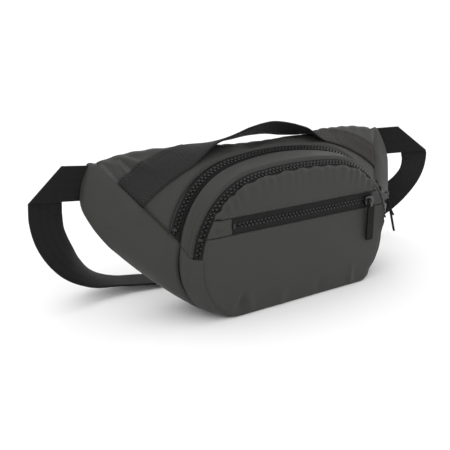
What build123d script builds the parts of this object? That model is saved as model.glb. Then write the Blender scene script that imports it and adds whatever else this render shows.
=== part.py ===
from build123d import *
import math
import os

os.makedirs("parts", exist_ok=True)

# Waist bag, millimetres. +Z up, -Y is the front panel, +X is the viewer's right end.
# The bag stands on its flat bottom and its belt lies closed on the floor behind it.

# ---------------------------------------------------------------- driving sizes
SHIFT_Y = -68.0        # moves the front bottom edge so the box is centred on Y = 0
WEB = 32.0             # webbing width
WEB_T = 1.6            # webbing thickness
SKIN = 1.2             # fabric panel with its backing
LINE_GAP = 0.25        # gap between a panel and the lining behind it
LINE_T = 1.2           # lining
BASE_FRONT = 84.0      # half width of the flat bottom at the front
BASE_BACK = 78.0       # half width of the flat bottom at the back
WINDOW_Z = 88.0        # height of the straight zip
WINDOW_H = 16.0        # height of the straight zip window
WINDOW_L = -84.5       # left end of the window
WINDOW_R = 92.5        # right end of the window
N_TOP = 14             # points on one half of an arched edge
N_SIDE = 9             # points on one side edge

# ---------------------------------------------------------------- outlines
# Each outline lies in a plane y = y0 + lean * z. The arched part has a corner arc of
# radius r about (cx, cz) that runs into a flatter crown arc reaching the apex.


def arch_point(s, t):
    # t = 0 at the apex, 1 at the seam point
    cx, cz, r, apex = s["cx"], s["cz"], s["r"], s["apex"]
    rise = apex - cz
    k = (cx ** 2 - (rise - r) ** 2) / (2 * (rise - r))
    crown = k + rise
    join = math.atan2(cx, k)
    end = math.pi / 2 - math.asin((s["seam"] - cz) / r)
    span_crown = crown * join
    span_corner = r * (end - join)
    d = t * (span_crown + span_corner)
    if d <= span_crown:
        a = d / crown
        return (crown * math.sin(a), cz - k + crown * math.cos(a))
    a = join + (d - span_crown) / r
    return (cx + r * math.sin(a), cz + r * math.cos(a))


def side_point(s, t):
    # t = 0 at the seam point, 1 at the bottom corner
    cx, cz, r = s["cx"], s["cz"], s["r"]
    wide = cx + r
    low = s["knee"]
    run = wide - s["base"]
    arc = (run ** 2 + low ** 2) / (2 * run)
    bend = math.asin(low / arc)
    upper = math.asin((s["seam"] - cz) / r)
    lengths = (r * upper, max(cz - low, 0.0), arc * bend)
    d = t * sum(lengths)
    if d <= lengths[0]:
        a = upper - d / r
        return (cx + r * math.cos(a), cz + r * math.sin(a))
    if d <= lengths[0] + lengths[1]:
        return (wide, cz - (d - lengths[0]))
    a = (d - lengths[0] - lengths[1]) / arc
    return (wide - arc + arc * math.cos(a), low - arc * math.sin(a))


def outline(s):
    top = [arch_point(s, i / (N_TOP - 1)) for i in range(N_TOP)]
    side = [side_point(s, i / (N_SIDE - 1)) for i in range(1, N_SIDE)]
    return top + side


def curve_through(points, count):
    with BuildLine() as line:
        Spline(*[(x, z, 0) for x, z in points])
    edge = line.edges()[0]
    return [((edge @ (i / (count - 1))).X, (edge @ (i / (count - 1))).Y) for i in range(count)]


def ring(y0, lean, half, base):
    return {"y0": y0, "lean": lean, "half": half, "base": base}


FRONT_SHAPE = {"cx": 41, "cz": 52, "r": 76, "apex": 130.5, "seam": 62, "knee": 50, "base": 84}
ZIPA_SHAPE = {"cx": 41, "cz": 52, "r": 83, "apex": 137.5, "seam": 62, "knee": 50, "base": 86}
MAIN_SHAPE = {"cx": 43.2, "cz": 52.5, "r": 88, "apex": 145.5, "seam": 76, "knee": 52, "base": 87}
ZIPB_SHAPE = {"cx": 43.2, "cz": 52.5, "r": 94.5, "apex": 151.0, "seam": 85, "knee": 52, "base": 87}
FRONT = ring(0, 0.05, outline(FRONT_SHAPE), 84)
ZIPA = ring(9, 0.05, outline(ZIPA_SHAPE), 86)
MAIN = ring(6.75, 0.25, outline(MAIN_SHAPE), 87)
ZIPB = ring(15.75, 0.25, outline(ZIPB_SHAPE), 87)

BACK_TOP = [(0, 145.5), (30, 146.5), (62, 150), (95, 153), (125, 153.5), (152, 151.5), (176, 147)]
BACK_SIDE = [(187, 144.5), (197.5, 113.5), (191, 90), (175, 69), (154, 50), (128, 30), (102, 12), (78, 0)]
BACK = ring(62, 0.19, curve_through(BACK_TOP, N_TOP) + BACK_SIDE, 78)


def full(points, push):
    # whole outline from the left bottom corner over the top, moved along its normal
    ring_points = [(-x, z) for x, z in reversed(points)] + points[1:]
    out = []
    last = len(ring_points) - 1
    for i, (x, z) in enumerate(ring_points):
        a = ring_points[max(i - 1, 0)]
        b = ring_points[min(i + 1, last)]
        dx, dz = b[0] - a[0], b[1] - a[1]
        size = math.hypot(dx, dz)
        out.append((x - push * dz / size, z + push * dx / size))
    out[0] = (ring_points[0][0] - push, ring_points[0][1] - push)
    out[last] = (ring_points[last][0] + push, ring_points[last][1] - push)
    return out


def plane_of(s):
    return Plane(origin=(0, s["y0"] + SHIFT_Y, 0), x_dir=(1, 0, 0), z_dir=(0, -1, s["lean"]))


def between(a, b, f):
    half = [
        (p[0] * (1 - f) + q[0] * f, p[1] * (1 - f) + q[1] * f)
        for p, q in zip(a["half"], b["half"])
    ]
    return ring(a["y0"] * (1 - f) + b["y0"] * f, a["lean"], half, a["base"])


# the gusset's lower edge, where it meets the wings, and the lining's middle section
LOW_SHAPE = {"cx": 43.2, "cz": 50.7, "r": 88, "apex": 143.5, "seam": 74.2, "knee": 50, "base": 87}
MID_SHAPE = {"cx": 43.2, "cz": 50.7, "r": 85, "apex": 138.0, "seam": 71.5, "knee": 50, "base": 85}
LOW = ring(18, 0.10, outline(LOW_SHAPE), 87)
MID = ring(18, 0.15, outline(MID_SHAPE), 85)
LAST = 2 * (N_TOP + N_SIDE - 2)
SPANS = {
    "top": (N_SIDE - 1, LAST - N_SIDE + 1),
    "left": (0, N_SIDE - 1),
    "right": (LAST - N_SIDE + 1, LAST),
}


def rim(points):
    # closed outline: straight-sided flanks, arched top, flat bottom
    Polyline(*points[:N_SIDE])
    Spline(*points[N_SIDE - 1:LAST - N_SIDE + 2])
    Polyline(*points[LAST - N_SIDE + 1:])
    Line(points[LAST], points[0])


def export(part, label):
    part.part.label = label
    export_step(part.part, f"parts/{label}.step")


def edge_chain(s, span, push):
    # edges of one stretch of an outline, in space
    first, last = SPANS[span]
    plane = plane_of(s)
    points = [plane.from_local_coords((x, z, 0)) for x, z in full(s["half"], push)[first:last + 1]]
    if span == "top":
        return [Edge.make_spline(points)]
    return [Edge.make_line(p, q) for p, q in zip(points, points[1:])]


def skin_between(a, b, span, inner, outer):
    # closed thin solid: outer and inner ruled faces, two caps in the outline planes, two ends
    out_a, out_b = edge_chain(a, span, outer), edge_chain(b, span, outer)
    in_a, in_b = edge_chain(a, span, inner), edge_chain(b, span, inner)
    faces = [Face.make_surface_from_curves(p, q) for p, q in zip(out_a, out_b)]
    faces += [Face.make_surface_from_curves(p, q) for p, q in zip(in_a, in_b)]
    ends = []
    for o, i in ((out_a, in_a), (out_b, in_b)):
        start = Edge.make_line(o[0] @ 0, i[0] @ 0)
        finish = Edge.make_line(o[-1] @ 1, i[-1] @ 1)
        ends.append((start, finish))
        faces.append(Face(Wire([*o, finish, *i, start])))
    for k in (0, 1):
        faces.append(Face.make_surface_from_curves(ends[0][k], ends[1][k]))
    return Solid(Shell(faces))


def band(label, rings, span, inner=-SKIN, outer=0.0):
    with BuildPart() as part:
        for a, b in zip(rings, rings[1:]):
            solid = skin_between(a, b, span, inner, outer)
            add(solid if solid.volume > 0 else Solid(solid.wrapped.Reversed()))
    export(part, label)


# ---------------------------------------------------------------- fabric panels
def front_y(z):
    return FRONT["lean"] * z + SHIFT_Y


FRONT_PLANE = plane_of(FRONT)
LOW_EDGE = WINDOW_Z - WINDOW_H / 2
HIGH_EDGE = WINDOW_Z + WINDOW_H / 2


def front_piece(label, x0, x1, z0, z1):
    points = full(FRONT["half"], -1.35)
    with BuildPart() as part:
        with BuildSketch(FRONT_PLANE):
            with BuildLine():
                rim(points)
            make_face()
            with Locations(((x0 + x1) / 2, (z0 + z1) / 2)):
                Rectangle(x1 - x0, z1 - z0, mode=Mode.INTERSECT)
        extrude(amount=-SKIN)
    export(part, label)


front_piece("front_panel_lower", -130, 130, -5, LOW_EDGE)
front_piece("front_panel_upper", -130, 130, HIGH_EDGE, 140)
front_piece("window_patch_left", -130, WINDOW_L, LOW_EDGE + 0.05, HIGH_EDGE - 0.05)
front_piece("window_patch_right", WINDOW_R, 130, LOW_EDGE + 0.05, HIGH_EDGE - 0.05)

band("front_zip_tape_inner", [between(FRONT, ZIPA, 0.02), between(FRONT, ZIPA, 0.40)], "top")
band("front_zip_tape_outer", [between(FRONT, ZIPA, 0.60), between(FRONT, ZIPA, 0.98)], "top")
band("front_zip_teeth", [between(FRONT, ZIPA, 0.42), between(FRONT, ZIPA, 0.58)], "top", -1.4, 1.2)
band("gusset_top", [ZIPA, MAIN], "top")
band("gusset_side_left", [FRONT, ZIPA, LOW], "left")
band("gusset_side_right", [FRONT, ZIPA, LOW], "right")
band("main_zip_tape_front", [between(MAIN, ZIPB, 0.02), between(MAIN, ZIPB, 0.40)], "top")
band("main_zip_tape_rear", [between(MAIN, ZIPB, 0.60), between(MAIN, ZIPB, 0.98)], "top")
band("main_zip_teeth", [between(MAIN, ZIPB, 0.42), between(MAIN, ZIPB, 0.58)], "top", -1.4, 1.2)
band("top_panel", [ZIPB, BACK], "top")
band("wing_panel_left", [LOW, BACK], "left")
band("wing_panel_right", [LOW, BACK], "right")

with BuildPart() as bottom:
    with BuildSketch(Plane.XY):
        with BuildLine():
            Polyline(
                (-BASE_FRONT + 1.5, SHIFT_Y + 1.4),
                (BASE_FRONT - 1.5, SHIFT_Y + 1.4),
                (BASE_BACK - 1.5, SHIFT_Y + 62),
                (-BASE_BACK + 1.5, SHIFT_Y + 62),
                close=True,
            )
        make_face()
    extrude(amount=SKIN)
export(bottom, "bottom_panel")

# ---------------------------------------------------------------- padded back
BACK_PLANE = plane_of(BACK)


def back_slab(label, push, start, depth):
    points = full(BACK["half"], push)
    with BuildPart() as part:
        with BuildSketch(BACK_PLANE.offset(-start)):
            with BuildLine():
                rim(points)
            make_face()
        extrude(amount=-depth)
    export(part, label)


back_slab("back_lining", -0.3, 0.05, 1.0)
back_slab("back_foam", -5.0, 1.1, 5.0)
back_slab("back_mesh", -1.0, 6.15, 1.2)

# ---------------------------------------------------------------- lining and seam bindings
PUSH_IN = -(SKIN + LINE_GAP)


def whole_face(s, push, drop=0.0):
    plane = plane_of(s).offset(drop)
    points = full(s["half"], push)
    with BuildSketch(plane) as sketch:
        with BuildLine():
            rim(points)
        make_face()
    return sketch.sketch


with BuildPart() as lining:
    add(whole_face(FRONT, PUSH_IN - 1.0, -SKIN - LINE_GAP))
    add(whole_face(MID, PUSH_IN))
    add(whole_face(BACK, PUSH_IN - 1.5, 0.4))
    loft(ruled=True)
    add(whole_face(FRONT, PUSH_IN - 1.0 - LINE_T, -SKIN - LINE_GAP - LINE_T))
    add(whole_face(MID, PUSH_IN - LINE_T))
    add(whole_face(BACK, PUSH_IN - 1.5 - LINE_T, 0.4 + LINE_T))
    loft(ruled=True, mode=Mode.SUBTRACT)
export(lining, "lining")

with BuildPart() as divider:
    add(whole_face(MID, PUSH_IN - LINE_T - 1.2))
    extrude(amount=1.0)
export(divider, "pocket_divider")


def solid_bar(label, start, end, across, wide, thick):
    # straight sewn tape from start to end, its flat side facing along the bar's normal
    a, b = Vector(*start), Vector(*end)
    run = (b - a).normalized()
    with BuildPart() as part:
        with BuildSketch(Plane(origin=a, x_dir=Vector(*across), z_dir=run)):
            Rectangle(wide, thick)
        extrude(amount=(b - a).length)
    export(part, label)


for sign, side in ((-1, "left"), (1, "right")):
    solid_bar(
        f"seam_binding_{side}",
        (sign * 178.0, SHIFT_Y + 87.0, 144.6),
        (sign * 140.0, SHIFT_Y + 36.2, 86.6),
        (sign * 0.45, -0.58, 0.68),
        1.6,
        1.2,
    )

# ---------------------------------------------------------------- straight zip in the window
MID = (WINDOW_L + WINDOW_R) / 2
RUN = WINDOW_R - WINDOW_L


def window_strip(label, z0, z1, thick, sink, margin=0.1):
    with BuildPart() as part:
        with BuildSketch(FRONT_PLANE.offset(-sink)):
            with Locations((MID, (z0 + z1) / 2)):
                Rectangle(RUN - 2 * margin, z1 - z0)
        extrude(amount=-thick)
    export(part, label)


window_strip("straight_zip_tape_lower", LOW_EDGE + 0.05, WINDOW_Z - 1.9, 0.9, 0.3)
window_strip("straight_zip_tape_upper", WINDOW_Z + 1.9, HIGH_EDGE - 0.05, 0.9, 0.3)
window_strip("straight_zip_teeth", WINDOW_Z - 1.75, WINDOW_Z + 1.75, 2.2, -0.8, 3.0)

# ---------------------------------------------------------------- sliders, pullers and tabs
SLIDER_L = 12.0        # slider length along the zip
SLIDER_W = 8.6         # slider width
SLIDER_H = 2.4         # roof thickness
LIFT = 0.7             # gap under the slider's flanges
TUNNEL_W = 5.0         # width of the tunnel over the teeth
TUNNEL_H = 2.1         # height of the tunnel over the tape
BAIL_R = 0.9           # bar that carries the puller
EYE_R = 0.96           # eye of the puller
BAR_UP = 6.9           # height of the bar above the tape
TAB_L = 36.0           # pull tab length
TAB_W = 9.0            # pull tab width
TAB_T = 1.8            # pull tab thickness


def slider(label, at, normal, along, bar_dir):
    n, u = Vector(*normal).normalized(), Vector(*along)
    u = (u - n * u.dot(n)).normalized()
    c = Vector(*bar_dir)
    c = (c - n * c.dot(n)).normalized()
    base = Plane(origin=Vector(*at), x_dir=u, z_dir=n)
    posts = Plane(origin=Vector(*at) + n * (TUNNEL_H + SLIDER_H - 0.2), x_dir=c, z_dir=n)
    bar = Plane(origin=Vector(*at) + n * BAR_UP - c * 2.6, x_dir=n, z_dir=c)
    with BuildPart() as part:
        with BuildSketch(base.offset(LIFT)) as plan:
            Rectangle(SLIDER_L, SLIDER_W)
            fillet(plan.vertices(), 2.2)
        extrude(amount=TUNNEL_H - LIFT + SLIDER_H)
        with BuildSketch(base.offset(LIFT)):
            Rectangle(SLIDER_L + 2, TUNNEL_W)
        extrude(amount=TUNNEL_H - LIFT, mode=Mode.SUBTRACT)
        with BuildSketch(posts):
            with Locations((-2.6, 0), (2.6, 0)):
                Rectangle(1.2, 2.0)
        extrude(amount=BAR_UP + 1.1 - TUNNEL_H - SLIDER_H + 0.2)
        with BuildSketch(bar):
            Circle(BAIL_R)
        extrude(amount=5.2)
    export(part, label)


def puller(label, at, normal, down, bar_dir):
    # metal eye and neck, then the flat tab moulded round the neck
    n, c = Vector(*normal).normalized(), Vector(*bar_dir)
    c = (c - n * c.dot(n)).normalized()
    d = Vector(*down)
    d = (d - c * d.dot(c)).normalized()
    m = c.cross(d)
    m = m if m.dot(n) > 0 else m * -1
    pin = Vector(*at) + n * BAR_UP
    eye = Plane(origin=pin - c * 1.5, x_dir=d, z_dir=c)
    with BuildPart() as part:
        with BuildSketch(eye):
            Circle(EYE_R + 1.0)
            with Locations((5.6, 0)):
                Rectangle(9.0, 1.5)
            Circle(EYE_R, mode=Mode.SUBTRACT)
        extrude(amount=3.0)
    export(part, f"{label}_link")
    flat = Plane(origin=pin + d * 6.2 - m * (TAB_T / 2), x_dir=d, z_dir=m)
    pocket = Plane(origin=pin - c * 1.5, x_dir=d, z_dir=c)
    with BuildPart() as tab:
        with BuildSketch(flat) as plan:
            with Locations((TAB_L / 2, 0)):
                Rectangle(TAB_L, TAB_W)
            fillet(plan.vertices(), 1.6)
        extrude(amount=TAB_T)
        with BuildSketch(pocket):
            with Locations((5.6, 0)):
                Rectangle(9.0, 1.5)
        extrude(amount=3.0, mode=Mode.SUBTRACT)
    export(tab, f"{label}_tab")


def on_arch(a, b, shape_a, shape_b, angle):
    # middle of the tape between two arched outlines, with the tape's outward normal
    r = (shape_a["r"] + shape_b["r"]) / 2
    x, z = shape_a["cx"] + r * math.cos(angle), shape_a["cz"] + r * math.sin(angle)
    lean = a["lean"]
    stretch = math.hypot(1, lean)
    inward = (b["y0"] - a["y0"]) / stretch
    up = (0.0, lean / stretch, 1 / stretch)
    axis = Vector(0, 1 / stretch, -lean / stretch)
    radial = Vector(math.cos(angle), up[1] * math.sin(angle), up[2] * math.sin(angle))
    y_mid = (a["y0"] + b["y0"]) / 2
    origin = Vector(x, y_mid + SHIFT_Y + lean * z / stretch, z / stretch)
    grow = shape_b["r"] - shape_a["r"]
    normal = (radial * inward - axis * grow).normalized()
    return origin, normal, radial.cross(axis).normalized()


FRONT_REST = math.radians(27)
MAIN_REST = math.radians(28)
DOWN = (0.0, 0.0, -1.0)

at_front, n_front, u_front = on_arch(FRONT, ZIPA, FRONT_SHAPE, ZIPA_SHAPE, FRONT_REST)
at_main, n_main, u_main = on_arch(MAIN, ZIPB, MAIN_SHAPE, ZIPB_SHAPE, MAIN_REST)
c_front = n_front.cross(Vector(0, 0, 1)).normalized()
c_main = n_main.cross(Vector(0, 0, 1)).normalized()
slider("front_zip_slider", at_front, n_front, u_front, c_front)
puller("front_zip", at_front, n_front, (0.17, -0.16, -1.0), c_front)
slider("main_zip_slider", at_main, n_main, u_main, c_main)
puller("main_zip", at_main, n_main, (0.36, -0.30, -0.88), c_main)

at_line = Vector(WINDOW_R - 6.5, front_y(WINDOW_Z) + 0.3, WINDOW_Z)
n_line = Vector(0, -1, 0.05)
slider("straight_zip_slider", at_line, n_line, (1, 0, 0), (1, 0, 0))
puller("straight_zip", at_line, n_line, DOWN, (1, 0, 0))


# end stops: two small clamps at each end of a zip
def stops(label, places):
    with BuildPart() as part:
        for at, normal, along in places:
            with BuildSketch(Plane(origin=at, x_dir=along, z_dir=normal)):
                Rectangle(2.2, 4.6)
            extrude(amount=1.2)
    export(part, label)


def arch_stop(a, b, shape_a, shape_b, degrees):
    at, normal, along = on_arch(a, b, shape_a, shape_b, math.radians(degrees))
    left = Vector(-at.X, at.Y, at.Z), Vector(-normal.X, normal.Y, normal.Z), Vector(-along.X, along.Y, along.Z)
    return [(at + normal * 1.5, normal, along), (left[0] + left[1] * 1.5, left[1], left[2])]


stops("front_zip_stops", arch_stop(FRONT, ZIPA, FRONT_SHAPE, ZIPA_SHAPE, 20.5))
stops("main_zip_stops", arch_stop(MAIN, ZIPB, MAIN_SHAPE, ZIPB_SHAPE, 22.4))
LEFT_STOP = Vector(WINDOW_L + 1.6, front_y(WINDOW_Z) + 0.3, WINDOW_Z)
stops("straight_zip_stops", [(LEFT_STOP, Vector(0, -1, 0.05), Vector(1, 0, 0))])


# ---------------------------------------------------------------- webbing
def webbing(label, stations, wide=WEB, thick=WEB_T):
    # stations: centre, width direction, running direction
    with BuildPart() as part:
        for centre, across, run in stations:
            w, t = Vector(*across).normalized(), Vector(*run)
            t = (t - w * t.dot(w)).normalized()
            with BuildSketch(Plane(origin=Vector(*centre), x_dir=w, z_dir=t)):
                Rectangle(wide, thick)
        loft()
    export(part, label)


def tilt(degrees):
    a = math.radians(degrees)
    return (0.0, math.cos(a), -math.sin(a))


HANDLE_Y = SHIFT_Y + 70.0
webbing("handle_webbing", [
    ((-60, HANDLE_Y, 154.0), tilt(14), (1, 0, 0.22)),
    ((-30, HANDLE_Y, 159.5), tilt(26), (1, 0, 0.14)),
    ((0, HANDLE_Y, 161.8), tilt(30), (1, 0, 0)),
    ((30, HANDLE_Y, 159.5), tilt(26), (1, 0, -0.14)),
    ((60, HANDLE_Y, 154.0), tilt(14), (1, 0, -0.22)),
])
for s, side in ((-1, "left"), (1, "right")):
    webbing(f"handle_strip_{side}", [
        ((s * 60.6, HANDLE_Y, 153.9), tilt(14), (s, 0, -0.2)),
        ((s * 84, SHIFT_Y + 70, 151.4), (0, 1, 0.02), (s, 0, -0.05)),
        ((s * 122, SHIFT_Y + 69, 141.5), (s * 0.2, 0.86, 0.45), (s, -0.1, -0.5)),
        ((s * 153.6, SHIFT_Y + 62.6, 116.4), (s * 0.36, 0.62, 0.70), (s * 0.7, -0.2, -0.65)),
    ])

BELT_Y = SHIFT_Y + 116.0
DROP = [
    ((-230, SHIFT_Y + 87, 117), (1, 0.12, 0), (0.05, 0.2, -1)),
    ((-225, SHIFT_Y + 94, 90), (0.95, 0.28, 0.12), (0.25, 0.25, -1)),
    ((-213, SHIFT_Y + 103, 62), (0.82, 0.5, 0.28), (0.55, 0.3, -1)),
    ((-195, SHIFT_Y + 110, 37), (0.6, 0.75, 0.3), (0.8, 0.25, -0.9)),
    ((-171, SHIFT_Y + 114, 17), (0.35, 0.92, 0.2), (1, 0.1, -0.6)),
    ((-143, SHIFT_Y + 116, 5.5), (0.12, 0.99, 0.03), (1, 0, -0.22)),
    ((-120, SHIFT_Y + 116, 2.0), (0, 1, 0), (1, 0, -0.08)),
]


def mirrored(stations):
    return [((-c[0], c[1], c[2]), (-w[0], w[1], w[2]), (-t[0], t[1], t[2])) for c, w, t in stations]


def plate(label, plane, corners, thick=WEB_T):
    with BuildPart() as part:
        with BuildSketch(plane):
            with BuildLine():
                Polyline(*corners, close=True)
            make_face()
        extrude(amount=thick)
    export(part, label)


for s, side in ((-1, "left"), (1, "right")):
    run_dir = Vector(s * 0.985, -0.12, 0.12).normalized()
    face = Vector(-0.12 * s, -1, 0).normalized()
    run_plane = Plane(origin=(s * 191.5, SHIFT_Y + 87.5, 126.5), x_dir=run_dir, z_dir=face)
    flip = s
    run_corners = [(1.0, 15.5 * flip), (20.0, 17.5 * flip), (56.0, -15.5 * flip), (7.0, -16.0 * flip)]
    plate(f"belt_{side}_run", run_plane, run_corners)
    fold_plane = Plane(origin=(s * 191.5, SHIFT_Y + 90.0, 126.5), x_dir=run_dir, z_dir=face)
    fold_corners = [(20.3, 17.2 * flip), (56.0, -15.2 * flip), (25.0, -12.5 * flip)]
    plate(f"belt_{side}_fold", fold_plane, fold_corners)

webbing("belt_left_drop", DROP)
webbing("belt_right_drop", mirrored(DROP))
FLOOR = [
    ((-119.4, BELT_Y, 1.95), (0, 1, 0), (1, 0, -0.06)),
    ((-90, BELT_Y, 1.7), (0, 1, 0), (1, 0, 0)),
    ((-66, BELT_Y, 1.7), (0, 1, 0), (1, 0, 0)),
    ((-52, BELT_Y, 2.9), (0, 1, 0), (1, 0, 0.2)),
    ((-39.4, BELT_Y, 5.2), (0, 1, 0), (1, 0, 0.1)),
]
webbing("belt_left_floor", FLOOR)
webbing("belt_right_floor", [((-c[0], c[1], c[2]), w, (-t[0], t[1], t[2])) for c, w, t in FLOOR])
TAIL = [
    ((-39.4, BELT_Y, 7.3), (0, 1, 0), (-1, 0, 0.0)),
    ((-52, BELT_Y, 5.1), (0, 1, 0), (-1, 0, -0.2)),
    ((-66, BELT_Y, 3.8), (0, 1, 0), (-1, 0, 0)),
    ((-84, BELT_Y, 3.8), (0, 1, 0), (-1, 0, 0)),
]
webbing("belt_left_tail", TAIL)
LONG_TAIL = [((-c[0], c[1], c[2]), w, (-t[0], t[1], t[2])) for c, w, t in TAIL]
LONG_TAIL += [((x, BELT_Y, 3.8), (0, 1, 0), (1, 0, 0)) for x in (98, 112)]
webbing("belt_right_tail", LONG_TAIL)

with BuildPart() as keeper:
    with BuildSketch(Plane(origin=(78, BELT_Y, 2.85), x_dir=(0, 1, 0), z_dir=(1, 0, 0))):
        Rectangle(WEB + 3.4, 5.7)
        Rectangle(WEB + 1.0, 4.7, mode=Mode.SUBTRACT)
    extrude(amount=10.0)
export(keeper, "tail_keeper")

# ---------------------------------------------------------------- side-release buckle
HALF = 22.0            # half width of the buckle
TALL = 11.0            # buckle thickness


def block(x0, x1, half, z0, z1, mode=Mode.ADD):
    with Locations(((x0 + x1) / 2, BELT_Y, (z0 + z1) / 2)):
        Box(x1 - x0, 2 * half, z1 - z0, mode=mode)


with BuildPart() as female:
    block(-38.5, -2.0, HALF, 0, TALL)
    fillet(female.edges().filter_by(Axis.Z), 4.0)
    block(-25.0, -1.0, 17.6, 2.0, TALL - 2.0, Mode.SUBTRACT)
    block(-23.5, -9.0, HALF + 2, 2.4, TALL - 2.4, Mode.SUBTRACT)
    block(-34.5, -28.5, 17.0, -1, TALL + 1, Mode.SUBTRACT)
    block(-39.0, -34.4, 17.0, -1, 3.4, Mode.SUBTRACT)
    block(-39.0, -34.4, 17.0, 8.6, TALL + 1, Mode.SUBTRACT)
export(female, "buckle_female")

with BuildPart() as male:
    block(-1.6, 38.5, HALF - 1, 1.0, TALL - 1.0)
    fillet(male.edges().filter_by(Axis.Z), 4.0)
    block(-22.5, -1.0, 3.0, 3.4, TALL - 3.4)
    block(8.0, 14.0, 17.0, -1, TALL + 1, Mode.SUBTRACT)
    block(28.5, 34.5, 17.0, -1, TALL + 1, Mode.SUBTRACT)
    block(34.4, 39.0, 17.0, -1, 3.4, Mode.SUBTRACT)
    block(34.4, 39.0, 17.0, 8.6, TALL + 1, Mode.SUBTRACT)
export(male, "buckle_male")

for s, side in ((-1, "front"), (1, "rear")):
    with BuildPart() as prong:
        with BuildSketch(Plane.XY.offset(2.9)):
            with BuildLine():
                Polyline(
                    (-2.8, BELT_Y + s * 10.0),
                    (-22.0, BELT_Y + s * 10.0),
                    (-24.0, BELT_Y + s * 13.0),
                    (-20.0, BELT_Y + s * 19.5),
                    (-10.2, BELT_Y + s * 20.6),
                    (-10.2, BELT_Y + s * 15.6),
                    (-2.8, BELT_Y + s * 15.6),
                    close=True,
                )
            make_face()
        extrude(amount=TALL - 5.8)
    export(prong, f"buckle_prong_{side}")
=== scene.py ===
import math

import bmesh
import bpy
import numpy as np
from bpy.props import FloatProperty, FloatVectorProperty, IntProperty, PointerProperty
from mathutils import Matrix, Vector


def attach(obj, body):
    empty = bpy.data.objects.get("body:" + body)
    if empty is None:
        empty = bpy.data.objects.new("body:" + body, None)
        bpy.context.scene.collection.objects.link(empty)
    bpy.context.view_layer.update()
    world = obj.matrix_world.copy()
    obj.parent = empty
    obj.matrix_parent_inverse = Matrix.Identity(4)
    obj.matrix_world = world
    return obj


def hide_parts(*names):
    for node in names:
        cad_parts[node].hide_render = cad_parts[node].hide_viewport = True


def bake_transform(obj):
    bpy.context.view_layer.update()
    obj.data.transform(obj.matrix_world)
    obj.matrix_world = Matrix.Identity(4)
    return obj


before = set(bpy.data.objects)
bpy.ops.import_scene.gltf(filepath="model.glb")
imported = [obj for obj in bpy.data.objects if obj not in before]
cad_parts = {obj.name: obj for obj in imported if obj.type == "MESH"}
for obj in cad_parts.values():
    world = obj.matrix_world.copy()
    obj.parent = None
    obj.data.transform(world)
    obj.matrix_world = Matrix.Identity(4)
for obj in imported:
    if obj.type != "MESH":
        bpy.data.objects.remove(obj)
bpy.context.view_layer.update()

bl_info = {
    "name": "Waist bag",
    "version": (1, 0, 0),
    "blender": (4, 5, 0),
    "location": "3D View > Sidebar > Waist bag",
    "description": "Builds the cloth, webbing, zips and padding of a waist bag round its packed frame",
    "category": "Object",
}

# Shapes are worked out in millimetres, with y = 0 on the floor line of the front panel.
SHIFT_Y = -68.0
MM = 0.001
WEB_HALF = 16.0
STITCH_RAISE, CORD_SIDES = 0.05, 10
CLOTH_THICK, TAPE_THICK = 0.9, 0.8
SAG_DEPTH = 9.0

# Handle: its line over the panel, where it leaves the panel on each side, and the tilt of its width.
HANDLE_Y, HANDLE_LEVEL, HANDLE_RISE = 70.0, 150.9, 10.9
HANDLE_ROUND_RIGHT, HANDLE_ROUND_LEFT = 43.0, 52.0
HANDLE_LIFT_X, HANDLE_FADE = {-1: 64, 1: 42}, 38
HANDLE_TILT = ([0, 30, 60, 84], [30, 26, 14, 1])

# Cloth simulation of the back pad, in metres: grain of the remesh, farthest move, and height held in mm.
PAD_VOXEL, PAD_LIMIT, PAD_HELD, PAD_PRESSURE = 0.0032, 0.004, 3.0, 4.0

CAMERA_TARGET, CAMERA_AWAY, CAMERA_DISTANCE = (-0.0530, -0.0058, 0.0698), (-0.5419, -0.7885, 0.2907), 0.703
CAMERA_LENS, CAMERA_SENSOR = 56.0, 36.0
FLOOR_HALF, FLOOR_Z = 40.0, -0.0006


# ------------------------------------------------------------------ settings
class BagSizes(bpy.types.PropertyGroup):
    puff: FloatProperty(
        name="Panel puff", description="How far the filled panels swell between their seams",
        default=0.004, unit="LENGTH",
    )
    seam_depth: FloatProperty(
        name="Seam depth", description="Depth of the groove along a sewn seam",
        default=0.0016, unit="LENGTH",
    )
    crease: FloatProperty(
        name="Crease strength", description="Height of the soft creases, as a factor",
        default=2.6,
    )
    webbing_thickness: FloatProperty(
        name="Webbing thickness", description="Thickness of belt and handle webbing",
        default=0.0016, unit="LENGTH",
    )
    tooth_pitch: FloatProperty(
        name="Tooth pitch", description="Distance between zip teeth on one side",
        default=0.0042, unit="LENGTH",
    )
    stitch_pitch: FloatProperty(
        name="Stitch pitch", description="Distance between stitches",
        default=0.0032, unit="LENGTH",
    )
    back_swell: IntProperty(
        name="Back pad frames", description="Cloth frames that swell the back pad",
        default=20,
    )


class BagColours(bpy.types.PropertyGroup):
    shell: FloatVectorProperty(
        name="Shell cloth", description="Coated shell cloth",
        subtype="COLOR", default=(0.034, 0.0337, 0.0320),
    )
    tape: FloatVectorProperty(
        name="Zip tape", description="Woven zip tape",
        subtype="COLOR", default=(0.0085, 0.0085, 0.0083),
    )
    webbing: FloatVectorProperty(
        name="Webbing", description="Belt and handle webbing",
        subtype="COLOR", default=(0.0092, 0.0087, 0.0087),
    )
    metal: FloatVectorProperty(
        name="Slider metal", description="Dark plated metal",
        subtype="COLOR", default=(0.085, 0.085, 0.088),
    )
    tab: FloatVectorProperty(
        name="Pull tab", description="Pull tabs",
        subtype="COLOR", default=(0.006, 0.0059, 0.0056),
    )


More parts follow.
